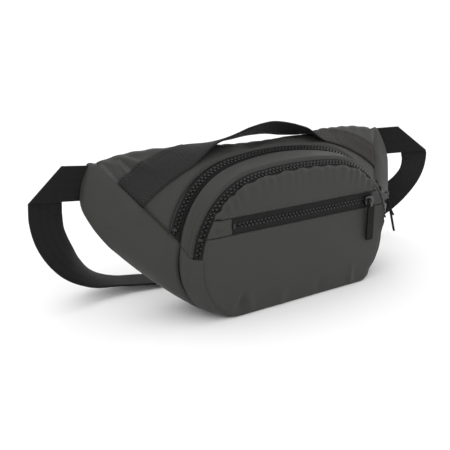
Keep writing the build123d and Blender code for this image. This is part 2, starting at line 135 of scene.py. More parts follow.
# ------------------------------------------------------------------ outlines of the sewn edges
FRONT = dict(cx=41.0, cz=52.0, r=76.0, apex=130.5, seam=62.0, knee=50.0, base=84.0, y0=0.0, lean=0.05)
ZIPA = dict(cx=41.0, cz=52.0, r=83.0, apex=137.5, seam=62.0, knee=50.0, base=86.0, y0=9.0, lean=0.05)
MAIN = dict(cx=43.2, cz=52.5, r=88.0, apex=145.5, seam=76.0, knee=52.0, base=87.0, y0=6.75, lean=0.25)
ZIPB = dict(cx=43.2, cz=52.5, r=94.5, apex=151.0, seam=85.0, knee=52.0, base=87.0, y0=15.75, lean=0.25)
LOW = dict(cx=43.2, cz=50.7, r=88.0, apex=143.5, seam=74.2, knee=50.0, base=87.0, y0=18.0, lean=0.10)
MIDDLE = dict(cx=43.2, cz=50.7, r=85.0, apex=138.0, seam=71.5, knee=50.0, base=85.0, y0=18.0, lean=0.15)
BACK_TOP = np.array([(0, 145.5), (30, 146.5), (62, 150), (95, 153), (125, 153.5), (152, 151.5), (176, 147)], float)
BACK_SIDE = np.array([
    (176, 147), (187, 144.5), (197.5, 113.5), (191, 90), (175, 69), (154, 50), (128, 30), (102, 12), (78, 0),
], float)
BACK_Y0, BACK_LEAN = 62.0, 0.19


def lift(x, z, y0, lean):
    """Plane of an outline: (x, z in the plane) to space, y = y0 + lean z, with z shortened by the lean."""
    z = z / math.hypot(1, lean)
    return np.stack([x, y0 + lean * z, z], -1)


def arch(s, t):
    """Arched edge: t from -1 (left seam) over 0 (apex) to 1 (right seam), by arc length along a flat crown arc
    of radius k + rise and a corner arc of radius r about (cx, cz)."""
    t = np.asarray(t, float)
    rise = s["apex"] - s["cz"]
    k = (s["cx"] ** 2 - (rise - s["r"]) ** 2) / (2 * (rise - s["r"]))
    crown, join = k + rise, math.atan2(s["cx"], k)
    end = math.pi / 2 - math.asin((s["seam"] - s["cz"]) / s["r"])
    first = crown * join
    d = np.abs(t) * (first + s["r"] * (end - join))
    a = np.where(d <= first, d / crown, join + (d - first) / s["r"])
    x = np.where(d <= first, crown * np.sin(a), s["cx"] + s["r"] * np.sin(a))
    z = np.where(d <= first, s["cz"] - k + crown * np.cos(a), s["cz"] + s["r"] * np.cos(a))
    return lift(x * np.sign(t + 1e-12), z, s["y0"], s["lean"])


def flank(s, t):
    """Side edge on +x: t = 0 at the seam, 1 at the bottom corner; corner arc, short straight, knee arc."""
    t = np.asarray(t, float)
    wide, low = s["cx"] + s["r"], s["knee"]
    run = wide - s["base"]
    arc = (run ** 2 + low ** 2) / (2 * run)
    bend, upper = math.asin(low / arc), math.asin((s["seam"] - s["cz"]) / s["r"])
    a0, a1 = s["r"] * upper, max(s["cz"] - low, 0.0)
    d = t * (a0 + a1 + arc * bend)
    ua, ka = upper - d / s["r"], (d - a0 - a1) / arc
    straight = d <= a0 + a1
    x = np.where(d <= a0, s["cx"] + s["r"] * np.cos(ua), np.where(straight, wide, wide - arc + arc * np.cos(ka)))
    z_below = np.where(straight, s["cz"] - (d - a0), low - arc * np.sin(ka))
    z = np.where(d <= a0, s["cz"] + s["r"] * np.sin(ua), z_below)
    return lift(x, z, s["y0"], s["lean"])


def neighbours(points, i, f, before=None):
    """Catmull-Rom blend of four neighbours at share f of stretch i; before stands ahead of the first point."""
    q = np.vstack([2 * points[0] - points[1] if before is None else before, points, 2 * points[-1] - points[-2]])
    a, b, c, e = q[i], q[i + 1], q[i + 2], q[i + 3]
    return 0.5 * (2 * b + (c - a) * f + (2 * a - 5 * b + 4 * c - e) * f ** 2 + (3 * b - a - 3 * c + e) * f ** 3)


def through(points, t, before=None):
    """Curve through a few points, by length."""
    t = np.clip(np.asarray(t, float), 0, 1)
    p = np.asarray(points, float)
    size = np.r_[0, np.cumsum(np.linalg.norm(np.diff(p, axis=0), axis=1))]
    d = t * size[-1]
    i = np.clip(np.searchsorted(size, d, side="right") - 1, 0, len(p) - 2)
    f = ((d - size[i]) / (size[i + 1] - size[i]))[..., None]
    return neighbours(p, i, f, before)


def back_top(t):
    """Top edge of the back: t from -1 to 1, mirrored through x = 0 with the shallow dip in the middle."""
    xz = through(BACK_TOP, np.abs(t))
    return lift(xz[..., 0] * np.sign(t + 1e-12), xz[..., 1], BACK_Y0, BACK_LEAN)


def back_flank(t):
    """Side edge of the back on +x: wing tip, then the long slanted lower edge to the bottom corner.
    Each of the eight stretches has the same share of t."""
    f = np.clip(np.asarray(t, float), 0, 1) * (len(BACK_SIDE) - 1)
    i = np.clip(f.astype(int), 0, len(BACK_SIDE) - 2)
    xz = neighbours(BACK_SIDE, i, (f - i)[..., None])
    return lift(xz[..., 0], xz[..., 1], BACK_Y0, BACK_LEAN)


# ------------------------------------------------------------------ mesh helpers
def grid_normals(p):
    """Unit normals of a grid from the cross product of its two differences."""
    n = np.cross(np.gradient(p, axis=0), np.gradient(p, axis=1))
    return n / np.maximum(np.linalg.norm(n, axis=-1, keepdims=True), 1e-9)


def outward(p, centre):
    """Normals turned to point away from a centre."""
    n = grid_normals(p)
    sign = np.sign(((p - np.asarray(centre, float)) * n).sum(-1).mean())
    return n * sign, sign


def lengths(p, axis):
    """Running length of a grid along one axis."""
    step = np.linalg.norm(np.diff(p, axis=axis), axis=-1)
    pad = np.zeros_like(np.take(step, [0], axis=axis))
    return np.concatenate([pad, np.cumsum(step, axis=axis)], axis=axis)


def quad_object(name, points, quads, uv, smooth):
    """A mesh of quads from points in millimetres and one UV pair per corner in metres."""
    mesh = bpy.data.meshes.new(name)
    mesh.from_pydata(((points + np.array([0, SHIFT_Y, 0])).reshape(-1, 3) * MM).tolist(), [], quads.tolist())
    mesh.uv_layers.new(name="UVMap").data.foreach_set("uv", uv.astype(np.float32).ravel())
    mesh.polygons.foreach_set("use_smooth", np.full(len(quads), smooth))
    mesh.update()
    obj = bpy.data.objects.new(name, mesh)
    bpy.context.scene.collection.objects.link(obj)
    return obj


def grid_object(name, p, flip=False, wrap=False, uv=None):
    """A grid of points in millimetres made a mesh of quads, with a UV map in metres along both ways."""
    nu, nv = p.shape[:2]
    u_index = np.arange(nu if wrap else nu - 1)
    i, j = np.meshgrid(u_index, np.arange(nv - 1), indexing="ij")
    ni = (i + 1) % nu
    quads = np.stack([i * nv + j, ni * nv + j, ni * nv + j + 1, i * nv + j + 1], -1).reshape(-1, 4)
    if flip:
        quads = quads[:, ::-1]
    if uv is None:
        uv = np.stack([lengths(p, 0), lengths(p, 1)], -1)
    return quad_object(name, p, quads, (uv.reshape(-1, 2) * MM)[quads.reshape(-1)], True)


def thicken(obj, size, offset=-1.0):
    mod = obj.modifiers.new("Cloth thickness", "SOLIDIFY")
    mod.thickness, mod.offset, mod.use_even_offset = size, offset, False
    return obj


def finish_piece(obj, body, material, slot, *nodes):
    obj.data.materials.clear()
    obj.data.materials.append(material)
    if nodes:
        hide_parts(*nodes)
    if body:
        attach(obj, body)
    return obj


def settings():
    scene = bpy.context.scene
    return scene.bag_sizes, scene.bag_colours


# ------------------------------------------------------------------ softness of the cloth
WAVES = np.random.default_rng(7).normal(size=(9, 4))


def drape_noise(p, size=1.0):
    """Sum of nine slow sine waves with fixed directions: wavelengths of 28 to 75 mm."""
    out = np.zeros(p.shape[:-1])
    for k, (a, b, c, phase) in enumerate(WAVES):
        d = np.array([a, b, c]) / np.linalg.norm([a, b, c])
        wave = 75.0 - 5.2 * k
        out += np.sin(p @ d * 2 * math.pi / wave + phase * 3) * (0.36 - 0.03 * k)
    return out * 0.42 * size


CREASES = [
    # centre, direction, half length, half width, height
    ((-166, 84, 144), (0.75, -0.25, -0.35), 15, 2.0, 1.0),
    ((-152, 80, 139), (0.35, -0.55, -0.60), 17, 2.4, -1.3),
    ((-145, 82, 142), (0.65, -0.45, -0.45), 20, 2.2, 1.5),
    ((-138, 83, 146), (0.90, -0.15, -0.20), 20, 2.6, -1.1),
    ((-128, 78, 146), (0.80, -0.50, 0.05), 14, 2.2, 0.9),
    ((-157, 72, 128), (0.15, -0.70, -0.60), 12, 2.0, 1.1),
    ((-105, 4, 101), (0.80, 0.0, -0.45), 12, 1.8, 1.3),
    ((-98, 4, 106), (0.95, 0.0, -0.25), 14, 2.0, -1.0),
    ((-93, 4, 112), (0.75, 0.0, 0.35), 12, 2.2, 0.9),
    ((-103, 4, 90), (0.90, 0.0, -0.30), 9, 1.4, 0.9),
    ((-99, 4, 86), (0.85, 0.0, 0.30), 8, 1.3, -0.8),
    ((-108, 4, 86), (0.6, 0.0, -0.7), 9, 1.4, 0.8),
    ((-84, 1, 18), (0.55, 0.0, 0.75), 14, 2.2, 0.9),
    ((-76, 1, 12), (0.15, 0.0, 0.95), 12, 2.2, -0.9),
    ((-68, 1, 14), (-0.2, 0.0, 0.95), 13, 2.4, 0.7),
    ((-30, 1, 8), (0.1, 0.0, 1.0), 10, 3.0, 0.6),
    ((20, 1, 7), (-0.1, 0.0, 1.0), 9, 3.0, -0.6),
    ((66, 1, 9), (0.3, 0.0, 0.9), 12, 2.4, 0.7),
    ((-128, 24, 58), (0.1, 0.2, 0.95), 14, 2.0, 0.8),
    ((-124, 15, 40), (0.35, 0.1, 0.9), 13, 2.0, -0.8),
    ((-158, 60, 92), (-0.6, 0.2, -0.75), 26, 4.0, 0.9),
    ((-170, 72, 98), (-0.5, 0.4, -0.75), 24, 4.5, -0.9),
    ((-140, 40, 62), (-0.6, -0.3, -0.7), 22, 4.0, 0.8),
    ((-150, 56, 66), (0.7, -0.4, -0.5), 20, 3.6, -0.7),
    ((-118, 26, 112), (0.5, 0.3, 0.8), 14, 2.4, 0.7),
    ((60, 60, 146), (0.9, 0.3, 0.1), 18, 3.0, -1.0),
    ((20, 62, 146), (0.95, -0.2, 0.0), 22, 3.0, 1.1),
    ((-20, 58, 146), (0.9, 0.3, 0.0), 20, 2.6, -1.2),
    ((-45, 62, 147), (0.8, -0.5, 0.0), 16, 2.4, 1.1),
    ((130, 66, 138), (0.8, -0.2, -0.5), 18, 3.0, 0.8),
    ((158, 70, 112), (0.5, 0.3, -0.8), 20, 3.6, 0.8),
    ((-60, 24, 133), (0.9, 0.0, 0.35), 16, 2.4, 0.5),
    ((55, 26, 134), (0.95, 0.0, -0.25), 18, 2.6, -0.5),
]


def creases(p, factor):
    """Each crease is a soft ridge: height times exp(-(across / (2 width))^2) times exp(-(along / length)^2)."""
    out = np.zeros(p.shape[:-1])
    for centre, direction, long, wide, high in CREASES:
        d = np.array(direction, float)
        d /= np.linalg.norm(d)
        r = p - np.array(centre, float)
        along = r @ d
        off = (r ** 2).sum(-1) - along ** 2
        out += high * factor * np.exp(-off / (wide * 2) ** 2) * np.exp(-(along / long) ** 2)
    return out


def roll(distance, depth, width):
    """Edge of a panel turning down into its seam: -depth exp(-(distance / width)^2)."""
    return -depth * np.exp(-(distance / width) ** 2)


def soften(p, centre, edges, puff, factor=1.0, noise=1.0, extra=0.0, normal=None):
    """Moves a grid along its outward normals: swell between the edges, rolled edges, creases and slow waves.
    edges maps 'u0', 'u1', 'v0', 'v1' to (depth, width) of the roll on that side; extra is added as it is, and
    normal, if given, replaces the outward normals."""
    n, sign = outward(p, centre)
    if normal is not None:
        n = np.broadcast_to(normal, p.shape)
    nu, nv = p.shape[:2]
    u = np.linspace(0, 1, nu)[:, None]
    v = np.linspace(0, 1, nv)[None, :]
    swell = puff * (16 * u * (1 - u) * v * (1 - v)) ** 0.6
    lu, lv = lengths(p, 0), lengths(p, 1)
    ends = {"u0": lu, "u1": lu[-1:] - lu, "v0": lv, "v1": lv[:, -1:] - lv}
    turn = sum(roll(ends[k], d, w) for k, (d, w) in edges.items())
    near = np.minimum.reduce([np.minimum(lu, lu[-1:] - lu), np.minimum(lv, lv[:, -1:] - lv)])
    calm = 1 - np.exp(-(near / 5.0) ** 2)
    move = swell + turn + calm * (creases(p, factor) + drape_noise(p, noise)) + extra
    return p + n * move[..., None], sign


# ------------------------------------------------------------------ shading building blocks
def group(name, inputs, outputs):
    """A shader node group with named sockets; inputs are (label, kind, default)."""
    tree = bpy.data.node_groups.new(name, "ShaderNodeTree")
    for label, kind, default in inputs:
        socket = tree.interface.new_socket(label, in_out="INPUT", socket_type="NodeSocket" + kind)
        if default is not None:
            socket.default_value = default
    for label, kind in outputs:
        tree.interface.new_socket(label, in_out="OUTPUT", socket_type="NodeSocket" + kind)
    return tree, tree.nodes.new("NodeGroupInput").outputs, tree.nodes.new("NodeGroupOutput").inputs


def calc(tree, operation, a, b=None, clamp=False):
    node = tree.nodes.new("ShaderNodeMath")
    node.operation, node.use_clamp = operation, clamp
    for k, value in enumerate((a, b)):
        if isinstance(value, (int, float)):
            node.inputs[k].default_value = value
        elif value is not None:
            tree.links.new(value, node.inputs[k])
    return node.outputs[0]


def times(tree, a, b, clamp=False):
    return calc(tree, "MULTIPLY", a, b, clamp)


def plus(tree, a, b):
    return calc(tree, "ADD", a, b)


def split(tree, vector):
    node = tree.nodes.new("ShaderNodeSeparateXYZ")
    tree.links.new(vector, node.inputs[0])
    return node.outputs


def noise(tree, vector, scale, detail=3.0, rough=0.55):
    node = tree.nodes.new("ShaderNodeTexNoise")
    node.inputs["Scale"].default_value = scale
    node.inputs["Detail"].default_value = detail
    node.inputs["Roughness"].default_value = rough
    tree.links.new(vector, node.inputs["Vector"])
    return node.outputs["Fac"]


def remap(tree, value, low, high, to_low, to_high):
    node = tree.nodes.new("ShaderNodeMapRange")
    for k, v in zip(("From Min", "From Max", "To Min", "To Max"), (low, high, to_low, to_high)):
        node.inputs[k].default_value = v
    tree.links.new(value, node.inputs["Value"])
    return node.outputs["Result"]


def plain_weave():
    """Over-and-under weave: thread parity is (floor(u) + floor(v)) mod 2, each thread is a rounded ridge."""
    tree, given, out = group(
        "Plain weave", [("Vector", "Vector", None), ("Pitch", "Float", 0.001)], [("Height", "Float")]
    )
    x, y, _ = split(tree, given["Vector"])
    u, v = calc(tree, "DIVIDE", x, given["Pitch"]), calc(tree, "DIVIDE", y, given["Pitch"])
    ridge_u = calc(tree, "ABSOLUTE", calc(tree, "SINE", times(tree, u, math.pi)))
    ridge_v = calc(tree, "ABSOLUTE", calc(tree, "SINE", times(tree, v, math.pi)))
    over = calc(tree, "FLOORED_MODULO", plus(tree, calc(tree, "FLOOR", u), calc(tree, "FLOOR", v)), 2.0)
    under = calc(tree, "SUBTRACT", 1.0, over)
    soft = times(tree, plus(tree, times(tree, ridge_u, ridge_v), 0.6), 0.5)
    lead = plus(tree, times(tree, ridge_u, over), times(tree, ridge_v, under))
    tree.links.new(times(tree, lead, soft), out["Height"])
    return tree


def webbing_weave():
    """Herringbone: ribs sin(2 pi (u / pitch + slope |frac(v / stripe) - 1/2|)), broken by fine cords
    along the length."""
    tree, given, out = group(
        "Webbing weave",
        [("Vector", "Vector", None), ("Pitch", "Float", 0.0024), ("Stripe", "Float", 0.008)],
        [("Height", "Float"), ("Shade", "Float")],
    )
    x, y, _ = split(tree, given["Vector"])
    across = calc(tree, "FRACT", calc(tree, "DIVIDE", y, given["Stripe"]))
    lane = calc(tree, "ABSOLUTE", calc(tree, "SUBTRACT", across, 0.5))
    phase = plus(tree, calc(tree, "DIVIDE", x, given["Pitch"]), times(tree, lane, 3.2))
    ribs = calc(tree, "SINE", times(tree, phase, 2 * math.pi))
    cords = calc(tree, "SINE", calc(tree, "DIVIDE", y, 0.00016))
    high = plus(tree, times(tree, ribs, 0.36), plus(tree, times(tree, cords, 0.14), 0.5))
    tree.links.new(high, out["Height"])
    tree.links.new(remap(tree, high, 0.0, 1.0, 0.62, 1.28), out["Shade"])
    return tree


def cloth_variation():
    """Slow mottling times fine speckle, as a factor round 1, and a lighter worn mask on raised rims."""
    tree, given, out = group(
        "Cloth variation",
        [("Vector", "Vector", None), ("Rim", "Float", 0.0), ("Amount", "Float", 1.0)],
        [("Factor", "Float"), ("Rough", "Float"), ("Wear", "Float")],
    )
    slow = noise(tree, given["Vector"], 24.0, 4.0)
    fine = noise(tree, given["Vector"], 900.0, 2.0)
    mottled = times(tree, calc(tree, "SUBTRACT", slow, 0.5), 0.34)
    mix = plus(tree, mottled, times(tree, calc(tree, "SUBTRACT", fine, 0.5), 0.30))
    tree.links.new(plus(tree, times(tree, mix, given["Amount"]), 1.0), out["Factor"])
    tree.links.new(remap(tree, slow, 0.3, 0.7, -0.05, 0.06), out["Rough"])
    rubbed = remap(tree, noise(tree, given["Vector"], 130.0, 3.0), 0.42, 0.7, 0.0, 1.0)
    tree.links.new(times(tree, rubbed, given["Rim"], clamp=True), out["Wear"])
    return tree


def use(tree, shared, vector, **values):
    """Places a shared group in a material tree, with its vector and its own numbers."""
    node = tree.nodes.new("ShaderNodeGroup")
    node.node_tree = bpy.data.node_groups[shared]
    tree.links.new(vector, node.inputs["Vector"])
    for label, value in values.items():
        if isinstance(value, (int, float)):
            node.inputs[label].default_value = value
        else:
            tree.links.new(value, node.inputs[label])
    return node.outputs


def blank(name, rough, metallic=0.0, sheen=0.0, specular=0.5):
    """A material with its Principled shader; returns the material, its tree, the shader and two coordinates."""
    mat = bpy.data.materials.new(name)
    mat.use_nodes = True
    tree = mat.node_tree
    tree.nodes.clear()
    shader = tree.nodes.new("ShaderNodeBsdfPrincipled")
    shader.inputs["Roughness"].default_value = rough
    shader.inputs["Metallic"].default_value = metallic
    shader.inputs["Sheen Weight"].default_value = sheen
    shader.inputs["Sheen Roughness"].default_value = 0.45
    shader.inputs["Specular IOR Level"].default_value = specular
    tree.links.new(shader.outputs[0], tree.nodes.new("ShaderNodeOutputMaterial").inputs[0])
    where = tree.nodes.new("ShaderNodeTexCoord").outputs
    return mat, tree, shader, where


def tinted(tree, shader, colour, factor, wear=None, light=1.6):
    """Base colour = colour times factor, going towards a lighter rubbed tone by the wear mask."""
    scale = tree.nodes.new("ShaderNodeVectorMath")
    scale.operation = "SCALE"
    scale.inputs[0].default_value = tuple(colour)[:3]
    tree.links.new(factor, scale.inputs["Scale"])
    made = scale.outputs[0]
    if wear is not None:
        mix = tree.nodes.new("ShaderNodeMix")
        mix.data_type = "RGBA"
        tree.links.new(wear, mix.inputs["Factor"])
        tree.links.new(made, mix.inputs["A"])
        mix.inputs["B"].default_value = tuple(c * light for c in tuple(colour)[:3]) + (1.0,)
        made = mix.outputs["Result"]
    tree.links.new(made, shader.inputs["Base Color"])


def bumps(tree, shader, layers):
    """Chains bump nodes: each layer is (height output, strength, distance in metres)."""
    normal = None
    for height, strength, distance in layers:
        node = tree.nodes.new("ShaderNodeBump")
        node.inputs["Strength"].default_value = strength
        node.inputs["Distance"].default_value = distance
        tree.links.new(height, node.inputs["Height"])
        if normal is not None:
            tree.links.new(normal, node.inputs["Normal"])
        normal = node.outputs["Normal"]
    tree.links.new(normal, shader.inputs["Normal"])


def rim_of(tree):
    node = tree.nodes.new("ShaderNodeAttribute")
    node.attribute_name = "rim"
    return node.outputs["Fac"]


# ------------------------------------------------------------------ finishes
def shell_cloth(colour, name="Coated shell cloth", weave="UV"):
    mat, tree, shader, where = blank(name, 0.62, sheen=0.05, specular=0.28)
    cloth = use(tree, "Cloth variation", where["Object"], Rim=rim_of(tree), Amount=0.55)
    threads = use(tree, "Plain weave", where[weave], Pitch=0.0007)
    shade = remap(tree, threads["Height"], 0.0, 0.9, 0.93, 1.06)
    wear = times(tree, cloth["Wear"], 0.22)
    tinted(tree, shader, colour, times(tree, cloth["Factor"], shade), wear)
    tree.links.new(plus(tree, cloth["Rough"], 0.62), shader.inputs["Roughness"])
    crumple = noise(tree, where["Object"], 60.0, 4.0, 0.6)
    bumps(tree, shader, [(crumple, 0.30, 0.0011), (threads["Height"], 0.35, 0.00012)])
    return mat


def zip_tape_cloth(colour):
    mat, tree, shader, where = blank("Zip tape", 0.78, sheen=0.05, specular=0.2)
    threads = use(tree, "Plain weave", where["UV"], Pitch=0.0013)
    cloth = use(tree, "Cloth variation", where["Object"], Rim=rim_of(tree), Amount=1.0)
    shade = remap(tree, threads["Height"], 0.0, 0.9, 0.55, 1.65)
    tinted(tree, shader, colour, times(tree, cloth["Factor"], shade), cloth["Wear"], 2.2)
    bumps(tree, shader, [(threads["Height"], 0.9, 0.0005)])
    return mat


def webbing_cloth(colour, name):
    mat, tree, shader, where = blank(name, 0.70, sheen=0.03, specular=0.13)
    weave = use(tree, "Webbing weave", where["UV"])
    cloth = use(tree, "Cloth variation", where["Object"], Rim=rim_of(tree), Amount=0.8)
    # Painted light: the point attribute read here makes the webbing up to 2.5 times lighter where the handle lies on
    # the panel facing the lamps, so its free middle stays dark as painted shade.
    pale = tree.nodes.new("ShaderNodeAttribute")
    pale.attribute_name = "painted_strip_light"
    strip_light_factor = plus(tree, times(tree, pale.outputs["Fac"], 1.5), 1.0)
    factor = times(tree, times(tree, weave["Shade"], cloth["Factor"]), strip_light_factor)
    tinted(tree, shader, colour, factor, times(tree, cloth["Wear"], 0.4), 1.9)
    tree.links.new(remap(tree, weave["Height"], 0.0, 1.0, 0.80, 0.60), shader.inputs["Roughness"])
    bumps(tree, shader, [(noise(tree, where["Object"], 45.0), 0.2, 0.001), (weave["Height"], 0.8, 0.00042)])
    return mat


def moulded(name, colour, rough, grain=0.5, spec=0.5):
    """Moulded plastic or rubber: fine grain."""
    mat, tree, shader, where = blank(name, rough, specular=spec)
    cloth = use(tree, "Cloth variation", where["Object"], Amount=0.35)
    tinted(tree, shader, colour, cloth["Factor"])
    tree.links.new(plus(tree, times(tree, cloth["Rough"], 1.6), rough), shader.inputs["Roughness"])
    bumps(tree, shader, [(noise(tree, where["Object"], 1500.0, 2.0), grain, 0.00012)])
    return mat


def plated(name, colour, rough):
    """Dark plated metal, a little brushed, dulled where handled."""
    mat, tree, shader, where = blank(name, rough, metallic=1.0)
    cloth = use(tree, "Cloth variation", where["Object"], Amount=0.6)
    tinted(tree, shader, colour, cloth["Factor"])
    dull = remap(tree, noise(tree, where["Object"], 260.0, 3.0), 0.35, 0.7, rough - 0.08, rough + 0.16)
    tree.links.new(dull, shader.inputs["Roughness"])
    bumps(tree, shader, [(noise(tree, where["Object"], 2200.0, 2.0), 0.25, 0.00006)])
    return mat


def spacer_mesh(colour):
    """Open knit of the back: rounded holes in staggered rows, with painted shade in the holes and lighter bars."""
    mat, tree, shader, where = blank("Spacer mesh", 0.82, sheen=0.2, specular=0.25)
    x, _, z = split(tree, where["Object"])
    row = calc(tree, "DIVIDE", z, 0.0021)
    shift = times(tree, calc(tree, "FLOORED_MODULO", calc(tree, "FLOOR", row), 2.0), 0.5)
    a = calc(tree, "SINE", times(tree, plus(tree, calc(tree, "DIVIDE", x, 0.0026), shift), math.pi))
    b = calc(tree, "SINE", times(tree, row, math.pi))
    hole = times(tree, calc(tree, "ABSOLUTE", a), calc(tree, "ABSOLUTE", b))
    bar = remap(tree, hole, 0.35, 0.75, 1.0, 0.0)
    cloth = use(tree, "Cloth variation", where["Object"], Amount=0.8)
    # Painted shade: the colour falls to 0.28 in the holes and rises to 1.15 on the bars.
    tinted(tree, shader, colour, times(tree, cloth["Factor"], remap(tree, bar, 0.0, 1.0, 0.28, 1.15)))
    bumps(tree, shader, [(bar, 0.8, 0.0006)])
    return mat


def thread_finish(name, colour):
    mat, tree, shader, where = blank(name, 0.6, sheen=0.2, specular=0.35)
    ply = calc(tree, "SINE", times(tree, split(tree, where["UV"])[0], 9000.0))
    cloth = use(tree, "Cloth variation", where["Object"], Amount=0.8)
    tinted(tree, shader, colour, times(tree, cloth["Factor"], remap(tree, ply, -1.0, 1.0, 0.8, 1.2)))
    bumps(tree, shader, [(ply, 0.5, 0.0001)])
    return mat


def make_materials():
    """Builds the shared groups and every finish once, and returns them by slot."""
    colours = settings()[1]
    plain_weave(), webbing_weave(), cloth_variation()
    warm = tuple(c * f for c, f in zip(colours.webbing, (1.30, 1.16, 1.15)))
    return {
        "shell_fabric": shell_cloth(colours.shell),
        "zip_tape": zip_tape_cloth(colours.tape),
        "zip_teeth": moulded("Zip teeth", (0.009, 0.009, 0.0095), 0.30, 0.1, 0.42),
        "slider_metal": plated("Slider metal", colours.metal, 0.34),
        "pull_tab": moulded("Pull tab", colours.tab, 0.6, 0.5, 0.14),
        "webbing": webbing_cloth(colours.webbing, "Webbing"),
        "webbing_warm": webbing_cloth(warm, "Webbing, rubbed"),
        "buckle_plastic": moulded("Buckle plastic", (0.012, 0.012, 0.0125), 0.42, 0.7),
        "elastic": webbing_cloth((0.016, 0.016, 0.016), "Keeper elastic"),
        "binding": shell_cloth(tuple(c * 0.7 for c in colours.shell), "Seam binding"),
        "lining_fabric": shell_cloth((0.05, 0.05, 0.052), "Lining cloth", "Object"),
        "foam": moulded("Foam", (0.05, 0.05, 0.05), 0.9, 0.9, 0.2),
        "mesh": spacer_mesh((0.045, 0.045, 0.044)),
        "thread": thread_finish("Sewing thread", (0.050, 0.0495, 0.047)),
        "thread_dark": thread_finish("Dark sewing thread", (0.020, 0.020, 0.020)),
    }


FINISHES = {}


def finish_of(slot_name):
    if not FINISHES:
        FINISHES.update(make_materials())
    return FINISHES[slot_name]


# ------------------------------------------------------------------ more mesh helpers
def set_rim(obj, p, width=2.2, sides="uv"):
    """Writes the attribute 'rim': exp(-(distance to the nearest edge / width)^2)."""
    lu, lv = lengths(p, 0), lengths(p, 1)
    away = []
    if "u" in sides:
        away += [lu, lu[-1:] - lu]
    if "v" in sides:
        away += [lv, lv[:, -1:] - lv]
    value = np.exp(-(np.minimum.reduce(away) / width) ** 2)
    obj.data.attributes.new("rim", "FLOAT", "POINT").data.foreach_set("value", value.astype(np.float32).ravel())
    return obj


def stamp(name, template, faces, at, along, up, smooth=False):
    """Copies one small template to many places: a template point (a, b, c) lands at
    place + a along + b (up x along) + c up."""
    along = along / np.linalg.norm(along, axis=1, keepdims=True)
    up = up - (up * along).sum(1, keepdims=True) * along
    up = up / np.linalg.norm(up, axis=1, keepdims=True)
    side = np.cross(up, along)
    t = np.asarray(template, float)
    p = at[:, None] + t[None, :, :1] * along[:, None] + t[None, :, 1:2] * side[:, None] + t[None, :, 2:] * up[:, None]
    count, size = len(at), len(t)
    quads = (np.asarray(faces)[None] + (np.arange(count) * size)[:, None, None]).reshape(-1, 4)
    return quad_object(name, p, quads, np.tile(t[:, :2] * MM, (count, 1))[quads.reshape(-1)], smooth)


def rounded_block(a, b, c, sink):
    """Tooth: an upright block a long, b across, c high with a smaller crown, as three rings of four points."""
    rings = [(1.0, -sink), (1.0, c * 0.55), (0.62, c)]
    signs = ((1, 1), (-1, 1), (-1, -1), (1, -1))
    points = [(sx * a / 2 * k, sy * b / 2 * (k * 0.5 + 0.5), h) for k, h in rings for sx, sy in signs]
    faces = [(3, 2, 1, 0)]
    for r in (0, 4):
        faces += [(r + i, r + (i + 1) % 4, r + 4 + (i + 1) % 4, r + 4 + i) for i in range(4)]
    return points, faces + [(8, 9, 10, 11)]


def capsule(long, wide, high):
    """Stitch: a rounded bar of five rings of six points, closed to a point at both ends."""
    turn = np.arange(6) * math.pi / 3
    rings = []
    for f, k in ((-1.0, 0.05), (-0.72, 0.8), (0.0, 1.0), (0.72, 0.8), (1.0, 0.05)):
        rings += [(f * long / 2, k * wide / 2 * math.cos(q), high * (0.5 * k * math.sin(q) + 0.25)) for q in turn]
    faces = []
    for r in range(4):
        faces += [(r * 6 + i, r * 6 + (i + 1) % 6, r * 6 + 6 + (i + 1) % 6, r * 6 + 6 + i) for i in range(6)]
    faces += [(0, 3, 2, 1), (0, 5, 4, 3), (24, 25, 26, 27), (24, 27, 28, 29)]
    return rings, faces


def walk(path, normals, pitch):
    """Evenly spaced places along a path, with direction and normal."""
    step = np.linalg.norm(np.diff(path, axis=0), axis=1)
    run = np.r_[0, np.cumsum(step)]
    count = max(int(run[-1] / pitch), 1)
    d = (np.arange(count) + 0.5) * run[-1] / count
    at = np.stack([np.interp(d, run, path[:, k]) for k in range(3)], -1)
    near = np.stack([np.interp(d, run, normals[:, k]) for k in range(3)], -1)
    slope = np.gradient(path, axis=0)
    way = np.stack([np.interp(d, run, slope[:, k]) for k in range(3)], -1)
    return at, way, near


def stitch_line(name, runs, material="thread"):
    """Topstitching: one stitch every stitch_pitch along each (path, normals)."""
    pitch = settings()[0].stitch_pitch / MM
    placed = [walk(path, normals, pitch) for path, normals in runs]
    at, way, near = (np.concatenate([w[k] for w in placed]) for k in range(3))
    points, faces = capsule(pitch * 0.74, 0.62, 0.55)
    obj = stamp(name, points, faces, at, way, near, smooth=True)
    slot_name = "shell_fabric" if material == "thread" else "webbing"
    return finish_piece(obj, "bag", finish_of(material), slot_name)


def inset_rows(p, n, distance, side):
    """Line of points on a grid at a distance from one side: 'v0', 'v1', 'u0' or 'u1'."""
    if side[0] == "u":
        p, n = p.transpose(1, 0, 2), n.transpose(1, 0, 2)
    if side[1] == "1":
        p, n = p[:, ::-1], n[:, ::-1]
    run = lengths(p, 1)
    k = np.clip((run < distance).sum(1), 1, p.shape[1] - 1)
    row = np.arange(len(p))
    gap = run[row, k] - run[row, k - 1]
    f = np.clip((distance - run[row, k - 1]) / np.maximum(gap, 1e-6), 0, 1)[:, None]
    normal = n[row, k - 1] * (1 - f) + n[row, k] * f
    return p[row, k - 1] * (1 - f) + p[row, k] * f + normal * STITCH_RAISE, normal


def settle(p):
    """The right lower corner sags inwards: 9 mm at a height of 12 to 45, nothing on the floor or above 68,
    fading out towards the back and beyond the wing's root."""
    x, y, z = p[..., 0], p[..., 1], p[..., 2]
    high = np.interp(z, [0, 12, 45, 68], [0, 1, 1, 0])
    high = high * high * (3 - 2 * high)
    wide = np.clip((x - 45) / 45, 0, 1) * np.clip((158 - x) / 26, 0, 1)
    deep = np.clip((50 - y) / 28, 0, 1)
    return p - np.stack([SAG_DEPTH * high * wide * deep, 0 * y, 0 * z], -1)


